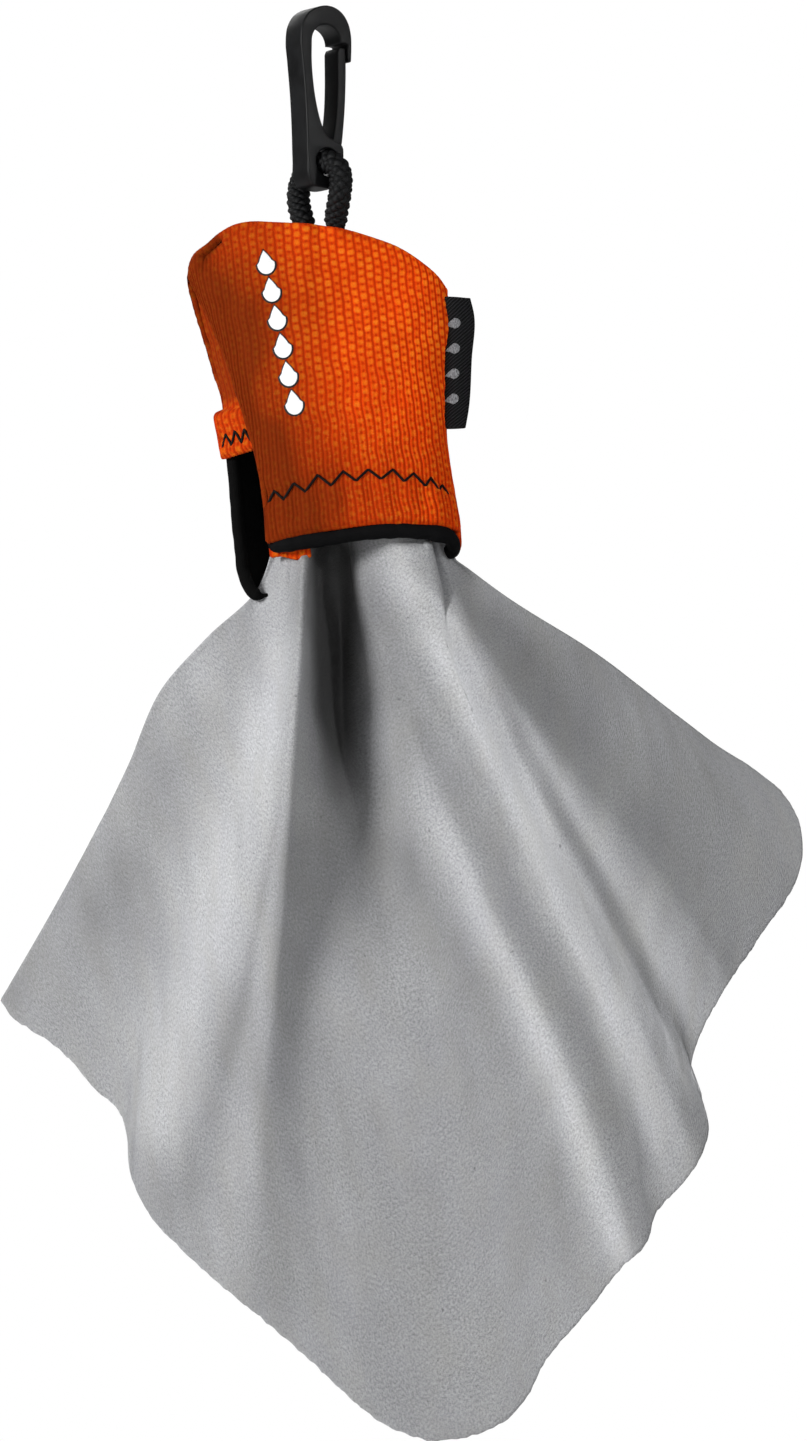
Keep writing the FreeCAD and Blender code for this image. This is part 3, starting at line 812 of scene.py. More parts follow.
# ------------------------------------------------------------------ gusset
def gusset_grid(n, m, z_top=-18.6, z_bot=-51.2):
    """Between the back panel's left edge and the front panel's left edge."""
    zf, lf = np.array([q[1] for q in LEFT_F]), np.array([q[0] for q in LEFT_F])
    z = np.linspace(z_top, z_bot, n)
    x0, _, b = form(z)
    xr = pchip(-zf, lf, -z) + 0.9
    # the hem band stands out of the edge a little
    step = 1 / (1 + np.exp((z + 43.0) / 0.22))
    xl = np.interp(-z, [18.0, 21.4, 27.7, 34.8, 40.0, 52.0], [-24.9, -24.5, -23.4, -22.2, -21.4, -21.0])
    xl = xl * (1 - step) + step * np.interp(-z, [42.0, 44.0, 51.5], [-23.45, -23.4, -22.75])
    yl = 0.9 - 1.5 * step
    a = np.linspace(0, 1, m)
    X = xl[:, None] + (xr - xl)[:, None] * a[None]
    yr = -half_depth(xr, z) + 1.15
    Y = yl[:, None] * (1 - a[None]) ** 1.2 + yr[:, None] * (1 - (1 - a[None]) ** 1.2)
    bow = np.sin(math.pi * a)[None] * 0.35
    Y = Y - bow
    Z = np.broadcast_to(z[:, None], X.shape).copy()
    # the band's lower edge rises a little to the right
    drop = np.clip((-48.0 - Z) / 3.2, 0, 1)
    Z = Z + drop * 0.9 * a[None]
    return np.stack([X, Y, Z], -1)


n_, m_ = int(230 * FINE), int(64 * FINE)
G = gusset_grid(n_, m_)
Ng = grid_normals(G)
sg = -1.0 if np.mean(Ng[..., 1]) > 0 else 1.0
gx, gz = G[..., 0], G[..., 2]
zl = -48.1 + 0.05 * (gx + 20)
rel = 0.16 * noise2(gx, gz, 9.0, 71, 2) + 0.26 / (1 + np.exp((gz - zl) / 0.3)) - 0.34 * np.exp(-((gz - zl) / 1.3) ** 2)
rel -= 0.28 * np.exp(-((gz + 43.1) / 0.5) ** 2)
G = G + Ng * sg * (rel * edge_fade(n_, m_, 4))[..., None]
Ug = np.concatenate([np.zeros((n_, 1)), np.cumsum(np.linalg.norm(np.diff(G, axis=1), axis=2), axis=1)], 1) + 3.1
kg, kf = knit_height(Ug, gz, 0.8)
# Painted shade: the gusset's knit is painted dark, less so on the hem band at its foot.
gus = thick_shell("pouch_gusset", G, 0.5 + 0.17 * (kg - 0.5), 0.5, np.stack([Ug, gz], -1),
                  {"knit": kg, "float": kf, "painted_shade": np.clip(0.90 - 0.42 * np.clip((-40.5 - gz) / 2.5, 0, 1), 0, 1)}, 4, sg)
finish_piece(gus, KNIT, "pouch", ["side_gusset"])


# ------------------------------------------------------------------ linings
def lining(name, L, T, R, B, side, n, m, inset, rep):
    n, m = int(n * FINE), int(m * FINE)
    a, b = dense_ends(m), np.linspace(0, 1, n)
    S = coons(T, B, L, R, a, b)
    x, z = S[..., 0], S[..., 1]
    y = side * np.maximum(half_depth(x, z) - inset, 0.28)
    P = np.stack([x, y, z], -1)
    N = grid_normals(P)
    s = -1.0 if np.mean(N[..., 1]) * side < 0 else 1.0
    P = P + N * s * (0.12 * noise2(x, z, 8.0, 44, 2))[..., None]
    ob = thick_shell(name, P, 0.26, 0.26, np.stack([x, z], -1), None, 3, s)
    return finish_piece(ob, LINING, "pouch", rep)


TOP_IN = [(-23.6, -18.6), (-22.4, -15.4), (-20.0, -12.9), (-16.6, -11.0), (-13.6, -10.6), (-9.6, -11.1), (-5.0, -11.9),
          (-0.2, -13.0), (3.9, -14.2), (8.1, -16.0), (11.8, -17.9), (15.4, -20.9), (17.9, -24.2), (18.4, -25.6)]
lining("lining_front", [(-23.6, -18.6), (-21.8, -24), (-19.6, -32.4), (-18.1, -38.6), (-16.7, -45.4), (-15.2, -52.2), (-14.6, -60.4), (-14.8, -67.0)],
       TOP_IN, [(18.4, -25.6), (18.6, -32.3), (17.6, -38.5), (16.6, -44.8), (16.0, -51.9), (16.1, -57.6), (16.4, -62.6), (16.8, -68.4)],
       [(-14.8, -67.0), (-9.2, -66.4), (-3.0, -66.0), (3.5, -65.9), (9.0, -66.4), (14.2, -67.2), (16.8, -68.4)],
       -1, 90, 70, 1.75, ["front_lining"])
lining("lining_back", [(-23.6, -18.6), (-22.9, -21.4), (-21.6, -27.7), (-20.4, -34.8), (-19.6, -42.0), (-20.3, -47.0), (-20.8, -51.0), (-20.9, -60.0), (-20.9, -67.3), (-20.7, -71.6), (-20.1, -73.9)],
       TOP_IN, [(18.4, -25.6), (18.6, -32.3), (17.6, -38.5), (16.6, -44.8), (16.0, -51.9), (16.1, -57.6), (16.4, -62.6), (16.6, -72.3)],
       [(-20.1, -73.9), (-19.6, -74.9), (-18.8, -75.3), (-17.6, -75.5), (-12.0, -75.4), (-4.0, -74.0), (8.0, -72.9), (16.6, -72.3)],
       1, 110, 80, 1.75, ["back_lining"])

# the gusset's lining
G2 = gusset_grid(80, 22, -20.0, -50.2)
G2[..., 0] += 0.9
G2[..., 1] += 1.15
s2 = -1.0 if np.mean(grid_normals(G2)[..., 1]) > 0 else 1.0
gl = thick_shell("lining_gusset", G2, 0.25, 0.25, G2[..., [0, 2]].copy(), None, 3, s2)
finish_piece(gl, LINING, "pouch", ["side_gusset_lining"])

# black tape that closes the back's free left edge, seen from the front in the vent
t_ = np.linspace(0, 1, 160)
ed = curve([(-22.0, -45.5), (-22.3, -51.0), (-22.35, -56.0), (-22.5, -62.0), (-22.6, -68.0), (-22.4, -72.0), (-21.9, -74.6), (-21.0, -76.4), (-20.0, -77.2), (-18.6, -77.3)], t_)
w_ = 1.15 * np.clip(t_ / 0.10, 0.25, 1) * np.clip((1 - t_) / 0.06, 0.3, 1)
ee = np.stack([ed[:, 0] + 1.15, np.full(160, 0.35) + 1.1 * np.clip(1 - t_ * 5, 0, 1), ed[:, 1] + 0.6 * np.clip((t_ - 0.8) / 0.2, 0, 1)], -1)
ee[:, 0] += 0.10 * noise2(ed[:, 1], ed[:, 1] * 0, 6.0, 91, 2)
edge_tape = tube("vent_edge_tape", ee, w_, 18)
finish_piece(edge_tape, LINING, "pouch")

# ------------------------------------------------------------------ binding
# flattened black roll inside the mouth, round the right end onto the back
bx = [(-14.2, -0.9, -67.2), (-15.1, -3.3, -68.1), (-13.0, -4.85, -68.55), (-9.0, -5.3, -68.35), (-3.0, -5.5, -68.05), (3.5, -5.45, -67.95),
      (9.0, -4.95, -68.4), (13.4, -3.9, -69.2), (15.9, -2.7, -70.0), (16.7, -1.2, -71.1), (16.5, 0.7, -72.0),
      (15.2, 2.4, -72.2), (12.6, 3.6, -72.2), (9.0, 4.6, -72.4), (3.5, 5.2, -72.9)]
bp = curve(bx, np.linspace(0, 1, 260))
L_ = np.r_[0, np.cumsum(np.linalg.norm(np.diff(bp, axis=0), axis=1))]
bp[:, 2] += 0.14 * noise2(L_, L_ * 0, 7.0, 51, 2)
bp[:, 1] += 0.12 * noise2(L_, L_ * 0, 6.0, 52, 2)
br = 1.28 + 0.09 * noise2(L_, L_ * 0, 5.0, 53, 2)
br *= np.clip(np.minimum(L_, L_[-1] - L_) / 2.2, 0.35, 1) ** 0.5
roll = tube("mouth_roll", bp, br, 22)
me = roll.data
co = np.zeros(len(me.vertices) * 3)
me.vertices.foreach_get("co", co)
co = co.reshape(-1, 3)
cen = world(bp)
idx = np.minimum(np.arange(len(co)) // 22, len(bp) - 1)
co[:, 2] = cen[idx, 2] + (co[:, 2] - cen[idx, 2]) * 1.12
me.vertices.foreach_set("co", co.ravel())
me.update()
finish_piece(roll, BINDING, "pouch", ["mouth_binding"])

# small turned-up corner of the back hem, seen in the mouth
n_, m_ = int(40 * FINE) + 10, int(70 * FINE) + 10
aa, bb = np.meshgrid(np.linspace(0, 1, m_), np.linspace(0, 1, n_))
sx = -15.9 + 6.6 * aa
sz = -67.6 - 2.35 * bb - 1.1 * aa + 0.25 * np.sin(2.2 * math.pi * aa)
sy = -2.3 - 2.0 * np.sin(0.5 * math.pi * aa) + 0.5 * bb
S3 = np.stack([sx, sy, sz], -1)
s3 = -1.0 if np.mean(grid_normals(S3)[..., 1]) > 0 else 1.0
ks, kf = knit_height(sx, sz, 0.5)
# Painted shade: the turned hem inside the mouth is painted evenly darker.
sl = thick_shell("mouth_turned_hem", S3, 0.45 + 0.14 * (ks - 0.5), 0.45, np.stack([sx, sz], -1),
                 {"knit": ks, "float": kf, "painted_shade": np.full_like(ks, 0.40)}, 4, s3)
finish_piece(sl, KNIT, "pouch")


# ------------------------------------------------------------------ stitching
def front_face_y(x, z, side=-1):
    return side * (np.maximum(half_depth(x, z) - 0.55, 0) + 0.12)


def stitch_line(name, pts, yfun, relief, rad=0.24, lift=0.62, replaces=(), dip=0.30):
    """One thread piece for each span; it dives into the cloth at its ends."""
    obs = []
    pts = np.array(pts, float)
    for q in range(len(pts) - 1):
        a, b = pts[q], pts[q + 1]
        t = np.linspace(-0.03, 1.03, 15)
        x = a[0] + (b[0] - a[0]) * t
        z = a[1] + (b[1] - a[1]) * t
        y0, s = yfun(x, z)
        r = relief(x, z) if relief is not None else 0
        arch = np.sin(math.pi * np.clip(t, 0, 1)) ** 0.5
        y = y0 + s * (r + lift - dip + dip * arch * 1.15)
        wob = 0.05 * math.sin(3.1 * q)
        obs.append(tube(f"{name}_{q}", np.stack([x, y, z + wob * np.sin(math.pi * t)], -1), rad, 8))
    ob = join(name, obs)
    return finish_piece(ob, THREAD, "pouch", replaces)


stitch_line("stitch_front_hem", ZIG_F, lambda x, z: (front_face_y(x, z), -1), front_relief, 0.25, 0.66, ["front_hem_stitching"])

ZIG_B = []
for i in range(17):
    x = 15.4 - 35.2 * i / 16
    z = -64.4 - (15.4 - x) / 35.5 * 2.6 + (1.05 if i % 2 else -1.05)
    ZIG_B.append((x, z))
stitch_line("stitch_back_hem", ZIG_B, lambda x, z: (front_face_y(x, z, 1), 1), back_relief, 0.25, 0.66, ["back_hem_stitching"])


def gusset_y(x, z):
    """Depth of the gusset's front face at x, z."""
    y = np.zeros_like(x)
    Gf = G.reshape(-1, 3)
    for i in range(len(x)):
        d = (Gf[:, 0] - x[i]) ** 2 + (Gf[:, 2] - z[i]) ** 2
        k = np.argsort(d)[:4]
        w = 1 / (d[k] + 1e-4)
        y[i] = np.sum(Gf[k, 1] * w) / np.sum(w)
    return y, -1


TAB = [(-22.7, -49.6), (-21.9, -47.2), (-21.0, -49.5), (-20.2, -46.9), (-19.2, -49.3), (-18.5, -46.9), (-17.6, -49.0), (-17.1, -47.4)]
stitch_line("stitch_gusset_hem", TAB, gusset_y, None, 0.24, 0.62, ["gusset_hem_stitching"])

# seam threads: a running line just inside the top and right seams
def seam(name, pts, replaces, step=2.3):
    p = curve(pts, np.linspace(0, 1, 240))
    L = np.r_[0, np.cumsum(np.linalg.norm(np.diff(p, axis=0), axis=1))]
    obs = []
    k = int(L[-1] / step)
    for side in (-1, 1):
        for q in range(k):
            s = np.linspace(q * step + 0.25, q * step + step - 0.25, 8)
            x = np.interp(s, L, p[:, 0])
            z = np.interp(s, L, p[:, 1])
            y = side * (0.16 + 0.12 * np.sin(np.linspace(0, math.pi, 8)))
            obs.append(tube(f"{name}_{side}_{q}", np.stack([x, y, z], -1), 0.16, 6))
    return finish_piece(join(name, obs), THREAD, "pouch", replaces)


# ------------------------------------------------------------------ print
def face_patch(name, outline_fn, mat, slot, lift, n=10, m=28):
    """Points in rings about a centre, from a radial outline; no patch is built from them."""
    c, fn = outline_fn
    verts, uv, faces = [], [], []
    ang = np.linspace(0, 2 * math.pi, m, endpoint=False)
    rr = np.linspace(0, 1, n)[1:]
    pts = [(c[0], c[1])]
    for r in rr:
        for t in ang:
            dx, dz = fn(t)
            pts.append((c[0] + dx * r, c[1] + dz * r))
    pts = np.array(pts)
    return pts, ang, n, m


def drop_outline(h, w, lean):
    """Water drop: round below, pointed above. Returns dx, dz for an angle."""
    def f(t):
        z = math.cos(t)
        x = math.sin(t)
        k = (0.5 * (1 - z)) ** 0.55 if z > 0 else (0.5 * (1 - z)) ** 0.18
        dx, dz = w * 0.5 * x * k * 1.12, h * 0.5 * z
        return (dx * math.cos(lean) + dz * math.sin(lean), dz * math.cos(lean) - dx * math.sin(lean))
    return f


def print_drops(name, mat, grow, lift):
    V, F, UV = [], [], []
    base = 0
    m, rings = 30, 7
    for i in range(6):
        t = i / 5.0
        c = (-11.55 + 2.45 * t, -17.2 - 26.2 * t)
        fn = drop_outline(4.5 + grow, 3.15 + grow, math.radians(-5))
        ang = np.linspace(0, 2 * math.pi, m, endpoint=False)
        pts = [(c[0], c[1] - 0.15)]
        for r in np.linspace(0, 1, rings + 1)[1:]:
            for q in ang:
                dx, dz = fn(q)
                pts.append((c[0] + dx * r, c[1] - 0.15 + (dz + 0.15) * r))
        pts = np.array(pts)
        x, z = pts[:, 0], pts[:, 1]
        y = front_face_y(x, z) - front_relief(x, z) - 0.55 - lift
        edge = np.r_[0, np.repeat(np.linspace(0, 1, rings + 1)[1:], m)]
        y = y + 0.05 * edge ** 6
        V.append(np.stack([x, y, z], -1))
        UV.append(pts)
        for q in range(m):
            F.append((base, base + 1 + (q + 1) % m, base + 1 + q))
            for r in range(rings - 1):
                a = base + 1 + r * m
                F.append((a + q, a + (q + 1) % m, a + m + (q + 1) % m, a + m + q))
        base += len(pts)
    ob = add_mesh(name, world(np.concatenate(V)), F, np.concatenate(UV))
    return finish_piece(ob, mat, "pouch")


print_drops("print_drop_edges", INK, 0.7, 0.10)
print_drops("print_drops", WHITE, 0.0, 0.16)

# ------------------------------------------------------------------ label
def label_mark():
    """A generic woven mark of small drops in the tape."""
    V, F, UV = [], [], []
    base = 0
    m, rings = 20, 4
    ang = np.linspace(0, 2 * math.pi, m, endpoint=False)
    for i in range(4):
        t = i / 3.0
        c = (20.85 - 1.75 * t, -31.6 - 13.6 * t)
        fn = drop_outline(2.7, 1.9, math.radians(-100))
        pts = [(c[0], c[1])]
        for r in np.linspace(0, 1, rings + 1)[1:]:
            for q in ang:
                dx, dz = fn(q)
                pts.append((c[0] + dx * r, c[1] + dz * r))
        pts = np.array(pts)
        a = (pts[:, 0] - np.interp(-pts[:, 1], [26.5, 30, 38.5, 48, 50], [18.9, 18.9, 18.2, 16.7, 16.3])) / 5.0
        bbq = (-26.9 - pts[:, 1]) / -23.3 * -1.0
        y = -0.55 - (0.30 + 0.55 * np.sin(math.pi * np.clip(a, 0, 1))) + 0.35 * np.sin(bbq * 3.0 + 0.6) * a - 0.24
        V.append(np.stack([pts[:, 0], y, pts[:, 1]], -1))
        UV.append(pts)
        for q in range(m):
            F.append((base, base + 1 + (q + 1) % m, base + 1 + q))
            for r in range(rings - 1):
                k = base + 1 + r * m
                F.append((k + q, k + (q + 1) % m, k + m + (q + 1) % m, k + m + q))
        base += len(pts)
    ob = add_mesh("label_mark", world(np.concatenate(V)), F, np.concatenate(UV))
    return finish_piece(ob, GREYTHREAD, "pouch")


label_mark()
n_, m_ = int(150 * FINE), int(40 * FINE) + 12
bb = np.linspace(0, 1, n_)
lb_l = curve([(18.9, -26.5), (18.9, -30.0), (18.2, -38.5), (16.7, -48.0), (16.3, -50.0)], bb)
lb_r = curve([(24.0, -27.3), (24.35, -30.0), (23.1, -38.2), (21.5, -47.6), (20.7, -50.4)], bb)
sheets = []
for side in (-1, 1):
    a = np.linspace(0, 1, m_)
    X = lb_l[:, 0][:, None] * (1 - a) + lb_r[:, 0][:, None] * a
    Z = lb_l[:, 1][:, None] * (1 - a) + lb_r[:, 1][:, None] * a
    gap = 0.30 + 0.55 * np.sin(math.pi * a) ** 1.0
    Y = -0.55 + side * gap[None] + 0.35 * np.sin(bb * 3.0 + 0.6)[:, None] * a[None]
    sheets.append(np.stack([X, Y + np.zeros_like(X), Z], -1))
front_s, back_s = sheets
# round the fold on the right from front sheet to back sheet
k = 9
th = np.linspace(0, math.pi, k + 2)[1:-1]
edge_f, edge_b = front_s[:, -1], back_s[:, -1]
mid = (edge_f + edge_b) / 2
hy = (edge_b[:, 1] - edge_f[:, 1]) / 2
fold = np.stack([mid[:, None, 0] + hy[:, None] * np.sin(th)[None] * 0.9,
                 mid[:, None, 1] - hy[:, None] * np.cos(th)[None],
                 np.broadcast_to(mid[:, None, 2], (n_, k))], -1)
LB = np.concatenate([front_s, fold, back_s[:, ::-1]], axis=1)
Nl = grid_normals(LB)
sl_ = -1.0 if np.mean(Nl[:, :m_, 1]) > 0 else 1.0
arc = np.concatenate([np.zeros((n_, 1)), np.cumsum(np.linalg.norm(np.diff(LB, axis=1), axis=2), axis=1)], 1)
lab = thick_shell("side_tape_label", LB, 0.16, 0.16, np.stack([arc, LB[..., 2]], -1), None, 4, sl_)
finish_piece(lab, LABEL, "pouch", ["side_label"])

seam("stitch_top_seam", [(-22.0, -14.6), (-19.4, -12.6), (-16.6, -11.3), (-14.0, -10.9), (-9.6, -11.4), (-5.0, -12.2), (-0.2, -13.3),
                         (3.9, -14.5), (8.1, -16.4), (11.8, -18.3), (15.0, -21.0), (17.6, -24.4)], ["top_seam_thread"])
seam("stitch_right_seam", [(18.5, -26.4), (18.6, -29.0), (18.1, -33.0), (17.1, -38.8), (16.1, -45.0), (15.5, -52.0), (15.5, -57.6), (15.8, -60.0)],
     ["right_seam_thread"])


# ================================================================== cloth
# Fold lines from the mouth to the hem, left raw edge to right raw edge, in mm
# about the cord eye, and the hem that they end on.
GUIDES = [
    [(-15.3, 0.8, -68), (-18.8, 1.4, -75.1), (-29, 1, -83.2), (-38, 0.2, -91.4), (-45.8, -0.6, -105.1), (-60.4, -1.2, -127.2), (-72.5, -1, -144)],
    [(-14, 1, -68.1), (-23.8, 1.6, -85.4), (-33.3, 2, -98), (-45.3, 2, -117.5), (-59, 1.6, -140.8), (-66.8, 1, -150.1)],
    [(-12.8, -1.2, -68.5), (-17.4, -2.2, -88.4), (-27.5, -3, -110.1), (-37.7, -3, -124.7), (-47.5, -2.6, -144.1), (-53.8, -2.2, -159.1), (-56.5, -2.1, -162.6)],
    [(-11.9, -1.6, -68.6), (-16.3, -2, -90.3), (-22.9, -1.8, -107.7), (-33.2, -0.9, -126.4), (-44, 0.1, -148.7), (-50, 0.6, -162.4), (-52.3, 0.9, -170.1)],
    [(-11, -2.8, -68.9), (-15.5, -3, -92.3), (-20.6, -3.1, -107.2), (-27.3, -2.9, -124.4), (-40.3, -2.4, -158.2), (-49.3, -2, -176.8), (-50.9, -2, -181.9)],
    [(-9.2, -4.2, -69.2), (-12.7, -4.2, -90.6), (-15, -3.8, -103.7), (-19.1, -2.8, -120.5), (-22.9, -2, -140.3), (-28.7, -1.2, -163.1), (-38.4, -0.4, -198.5)],
    [(-10.1, 0.2, -68.6), (-13.4, 0.2, -90), (-15.5, 0.2, -103.1), (-18.6, 0.3, -120.2), (-21.3, 0.5, -140.1), (-25.8, 0.7, -163.2), (-34.8, 0.6, -202.1)],
    [(-5.8, 4, -68.6), (-9, 4, -90), (-11.2, 3.4, -106.5), (-13.8, 2.8, -124.4), (-16.4, 2.2, -145.9), (-19.4, 1.6, -167.4), (-26.2, 1, -211.1)],
    [(-2.2, 3.6, -69), (-3.1, 3.2, -90.7), (-2.3, 2.6, -107.5), (-1.1, 2, -127.6), (-0.7, 1.5, -147.6), (-1.7, 1.1, -178.3), (-4.6, 0.8, -229.5)],
    [(0.3, -1, -69.8), (1, -1.8, -86.7), (3.1, -2.2, -101.2), (4.8, -2.2, -116.8), (9.5, -2, -132.1), (16.2, -1.6, -149), (23.6, -1.2, -164.6), (28.8, -1, -189.4), (31.8, -0.9, -204.2)],
    [(4.2, -3, -70.5), (3.5, -1.6, -94.7), (7.9, -0.4, -114.4), (14.8, 0.3, -131.3), (26.5, 0.8, -157.8), (33.5, 0.9, -176.6), (36.7, 0.9, -199.8)],
    [(8.9, -4.8, -71.2), (9.2, -4.8, -78.8), (13.8, -4.7, -91.6), (18.3, -4.4, -110.7), (23, -4, -128), (29.1, -3.4, -144.1), (35.3, -3, -158.3), (39.3, -2.6, -174), (43.1, -2.2, -191.6)],
    [(12.6, -3.6, -71.4), (13.4, -3.2, -79.4), (14.4, -2.6, -92.7), (20.7, -2, -109.6), (26.4, -1.4, -126.2), (32.8, -0.9, -140.6), (41.9, -0.4, -157.8), (47.7, -0.1, -172.8), (50.9, 0.1, -180)],
    [(12.8, 0.6, -71), (14, 0.6, -80.5), (15.6, 0.5, -92.4), (22.5, 0.5, -109.5), (28.4, 0.6, -126.2), (35.2, 0.8, -140.6), (43.9, 1, -156.9), (48.6, 1.1, -167.3), (49.6, 1.1, -171.6)],
    [(13.8, 0.2, -71.8), (16.5, -0.2, -84.5), (19.3, -0.6, -95.7), (24.2, -0.9, -110.7), (31.8, -1.1, -127.8), (42, -1.1, -147.9), (48, -1, -160.3), (49.4, -1, -166.9)],
    [(15.2, 1.6, -72.5), (20.6, 1.4, -86.5), (28.9, 1.2, -100.1), (39.8, 1, -117.5), (50.6, 0.9, -135), (58.9, 0.9, -152.9)],
    [(16, 1.9, -73.3), (25.1, 1.8, -85.1), (38.1, 1.6, -99.2), (52.7, 1.3, -115.2), (65.9, 0.8, -127.5), (72.5, 0.3, -134.8)],
    [(16.7, 1.6, -73.8), (23.8, 1.4, -80.3), (40.5, 0.9, -93.2), (53.7, 0.4, -105.5), (61.4, 0, -112.5), (65.6, -0.2, -115.7), (69.8, -0.4, -119.6)],
]
HEM = [(-72.5, -143.9), (-71, -146.7), (-67.5, -149.8), (-63.5, -153), (-60.3, -156.9), (-57.2, -161.6), (-53.1, -166.2), (-52.4, -171), (-52.6, -175.8), (-50.3, -183.9), (-44.3, -192.1), (-37, -200.1), (-31.1, -206), (-23.1, -214.6), (-17.8, -220.8), (-12.2, -226.2), (-7.4, -228.9), (-2.1, -230.4), (3.5, -230), (8.6, -228.4), (13.9, -224.1), (17.6, -218), (24.8, -211.5), (32.6, -203.4), (38.3, -198.4), (39.7, -194.4), (42.3, -191.9), (48.5, -185.7), (51.1, -179.5), (50.2, -173.8), (49, -168.8), (49.9, -166), (53.9, -159.1), (62.8, -148), (68, -142), (71.3, -137.8), (73.5, -131), (73.5, -127.6), (72.3, -123.4), (69.8, -119.6)]


def cloth_grid(n, m):
    """n rows from the pouch's inside to the hem, m columns across the folds."""
    g = [np.array(q, float) for q in GUIDES]
    t_all = np.linspace(0, 1, 90)
    C = []
    for q in g:
        p = curve(q, t_all)
        C.append(p)
    C = np.array(C)                                       # guides, t, 3
    C[6, :, 0] = np.maximum(C[6, :, 0], C[5, :, 0] + 0.9)
    k = len(g)
    gap = np.linalg.norm(np.diff(C[:, 45:], axis=0), axis=2).mean(axis=1)
    s = np.r_[0, np.cumsum(gap ** 0.8)]
    s /= s[-1]
    sm = np.linspace(0, 1, m)
    M = np.zeros((90, m, 3))
    for i in range(90):
        a = pchip(s, C[:, i], sm)
        b = catmull(s, C[:, i], sm)
        M[i] = 0.45 * a + 0.55 * b
    # hem: the last row goes onto the outline, and the rows above follow less
    H = np.array(HEM, float)
    hp = arc_param(H)
    gh = C[:, -1][:, [0, 2]]
    # the outline's parameter where each guide ends
    dense = curve(H, np.linspace(0, 1, 2000), False)
    par = [0.0]
    last = 0
    for q in gh[1:-1]:
        d = np.linalg.norm(dense - q, axis=1)
        d[:last] += 1e3
        j = int(np.argmin(d))
        last = max(last, min(j, 1999))
        par.append(last / 1999)
    par.append(1.0)
    par = np.maximum.accumulate(np.array(par) + np.arange(len(par)) * 1e-6)
    hem = curve(H, np.clip(pchip(s, par, sm), 0, 1), False)
    delta = hem - M[-1][:, [0, 2]]
    w = t_all[:, None] ** 3
    M[..., 0] += w * delta[None, :, 0]
    M[..., 2] += w * delta[None, :, 1]
    # up into the pouch
    top = M[0]
    rows = []
    for z, f in ((-24.0, 0.16), (-33.0, 0.34), (-46.0, 0.62), (-60.0, 0.90)):
        r = top.copy()
        r[:, 0] = -1.2 + (r[:, 0] + 1.2) * f
        r[:, 1] = r[:, 1] * min(f * 1.05, 0.95)
        r[:, 2] = z + (r[:, 2] - top[:, 2].mean()) * 0.4
        rows.append(r)
    A = np.concatenate([np.array(rows), M], axis=0)
    zt = np.r_[np.linspace(0, 0.16, 5)[:-1], 0.16 + 0.84 * t_all]
    tt = np.linspace(0, 1, n)
    G_ = catmull(zt, A, tt)
    return G_, tt, sm, s


n_, m_ = int(330 * FINE), int(380 * FINE)
CG, tt, sm, gs = cloth_grid(n_, m_)


def smooth_rows(P, k, w=0.5):
    for _ in range(k):
        Q = P.copy()
        Q[:, 1:-1] = P[:, 1:-1] * (1 - w) + w * 0.5 * (P[:, :-2] + P[:, 2:])
        Q[1:-1, :] = Q[1:-1, :] * (1 - w) + w * 0.5 * (Q[:-2, :] + Q[2:, :])
        P = Q
    return P


CG = smooth_rows(CG, 3)
# arc lengths for the cloth's own coordinates
du = np.linalg.norm(np.diff(CG, axis=1), axis=2)
UU = np.concatenate([np.zeros((n_, 1)), np.cumsum(du, axis=1)], 1)
UU = UU - UU[:, m_ // 2:m_ // 2 + 1]
dv = np.linalg.norm(np.diff(CG, axis=0), axis=2)
VV = np.concatenate([np.zeros((1, m_)), np.cumsum(dv, axis=0)], 0)
VV = np.broadcast_to(VV.mean(axis=1, keepdims=True), VV.shape) * 0.6 + VV * 0.4
def fold(x, z, line, amp, wl, wr):
    """Height of a soft crest along a line; amp, wl and wr vary down it."""
    p = curve(line, np.linspace(0, 1, 140))
    t = np.gradient(p, axis=0)
    t /= np.linalg.norm(t, axis=1, keepdims=True)
    out = np.zeros_like(x)
    for i in range(x.shape[0]):
        dx = x[i][:, None] - p[None, :, 0]
        dz = z[i][:, None] - p[None, :, 1]
        j = np.argmin(dx * dx + dz * dz, axis=1)
        k = np.arange(len(j))
        along = dx[k, j] * t[j, 0] + dz[k, j] * t[j, 1]
        d = dx[k, j] * -t[j, 1] + dz[k, j] * t[j, 0]        # + to the right, going down
        over = np.where((j == 0) & (along < 0) | (j == 139) & (along > 0), np.abs(along), 0)
        f = j / 139.0
        A = np.interp(f, np.linspace(0, 1, len(amp)), amp)
        W = np.where(d < 0, np.interp(f, np.linspace(0, 1, len(wl)), wl), np.interp(f, np.linspace(0, 1, len(wr)), wr))
        out[i] = A * np.exp(-np.abs(d / W) ** 1.7) * np.exp(-(over / 6.0) ** 2)
    return out


# the free cloth: broad planes and the crests of its folds
x, z = CG[..., 0], CG[..., 2]
open_ = np.clip((-72.0 - z) / 16.0, 0, 1)
open_ = open_ * open_ * (3 - 2 * open_)
xr_ = np.interp(-z, [70, 85, 100, 115, 130, 145, 160, 175, 200], [14, 18, 25, 34, 44, 53, 60, 64, 66])
Y = np.full_like(x, 0.8)
Y += 0.07 * np.clip(-14 - x, 0, 60)
Y += 0.30 * np.clip(x - xr_, 0, 34) - 0.10 * np.clip(x - xr_ - 24, 0, 30)
Y -= fold(x, z, [(-11.8, -85.1), (-14.0, -93.9), (-16.9, -103.6), (-24.8, -129.0), (-28.8, -141.2), (-36.0, -158.6), (-43.7, -177.7)], [1.7, 3.4, 3.6, 2.9, 1.9], [5, 8, 9.5, 10, 9], [2.8, 4.0, 5.0, 6.2, 7.2])
Y -= fold(x, z, [(-10.0, -70.8), (-12.2, -86.9), (-15.5, -106.4), (-20.0, -131.3), (-23.6, -149.0), (-27.3, -166.7), (-30.3, -184.5), (-33.2, -200.5)], [6.4, 6.4, 5.4, 3.8, 2.6, 1.5], [4.0, 3.2, 3.2, 4.0, 6.0, 8.0], [1.6, 1.8, 2.6, 4.2, 6.5, 9.0])
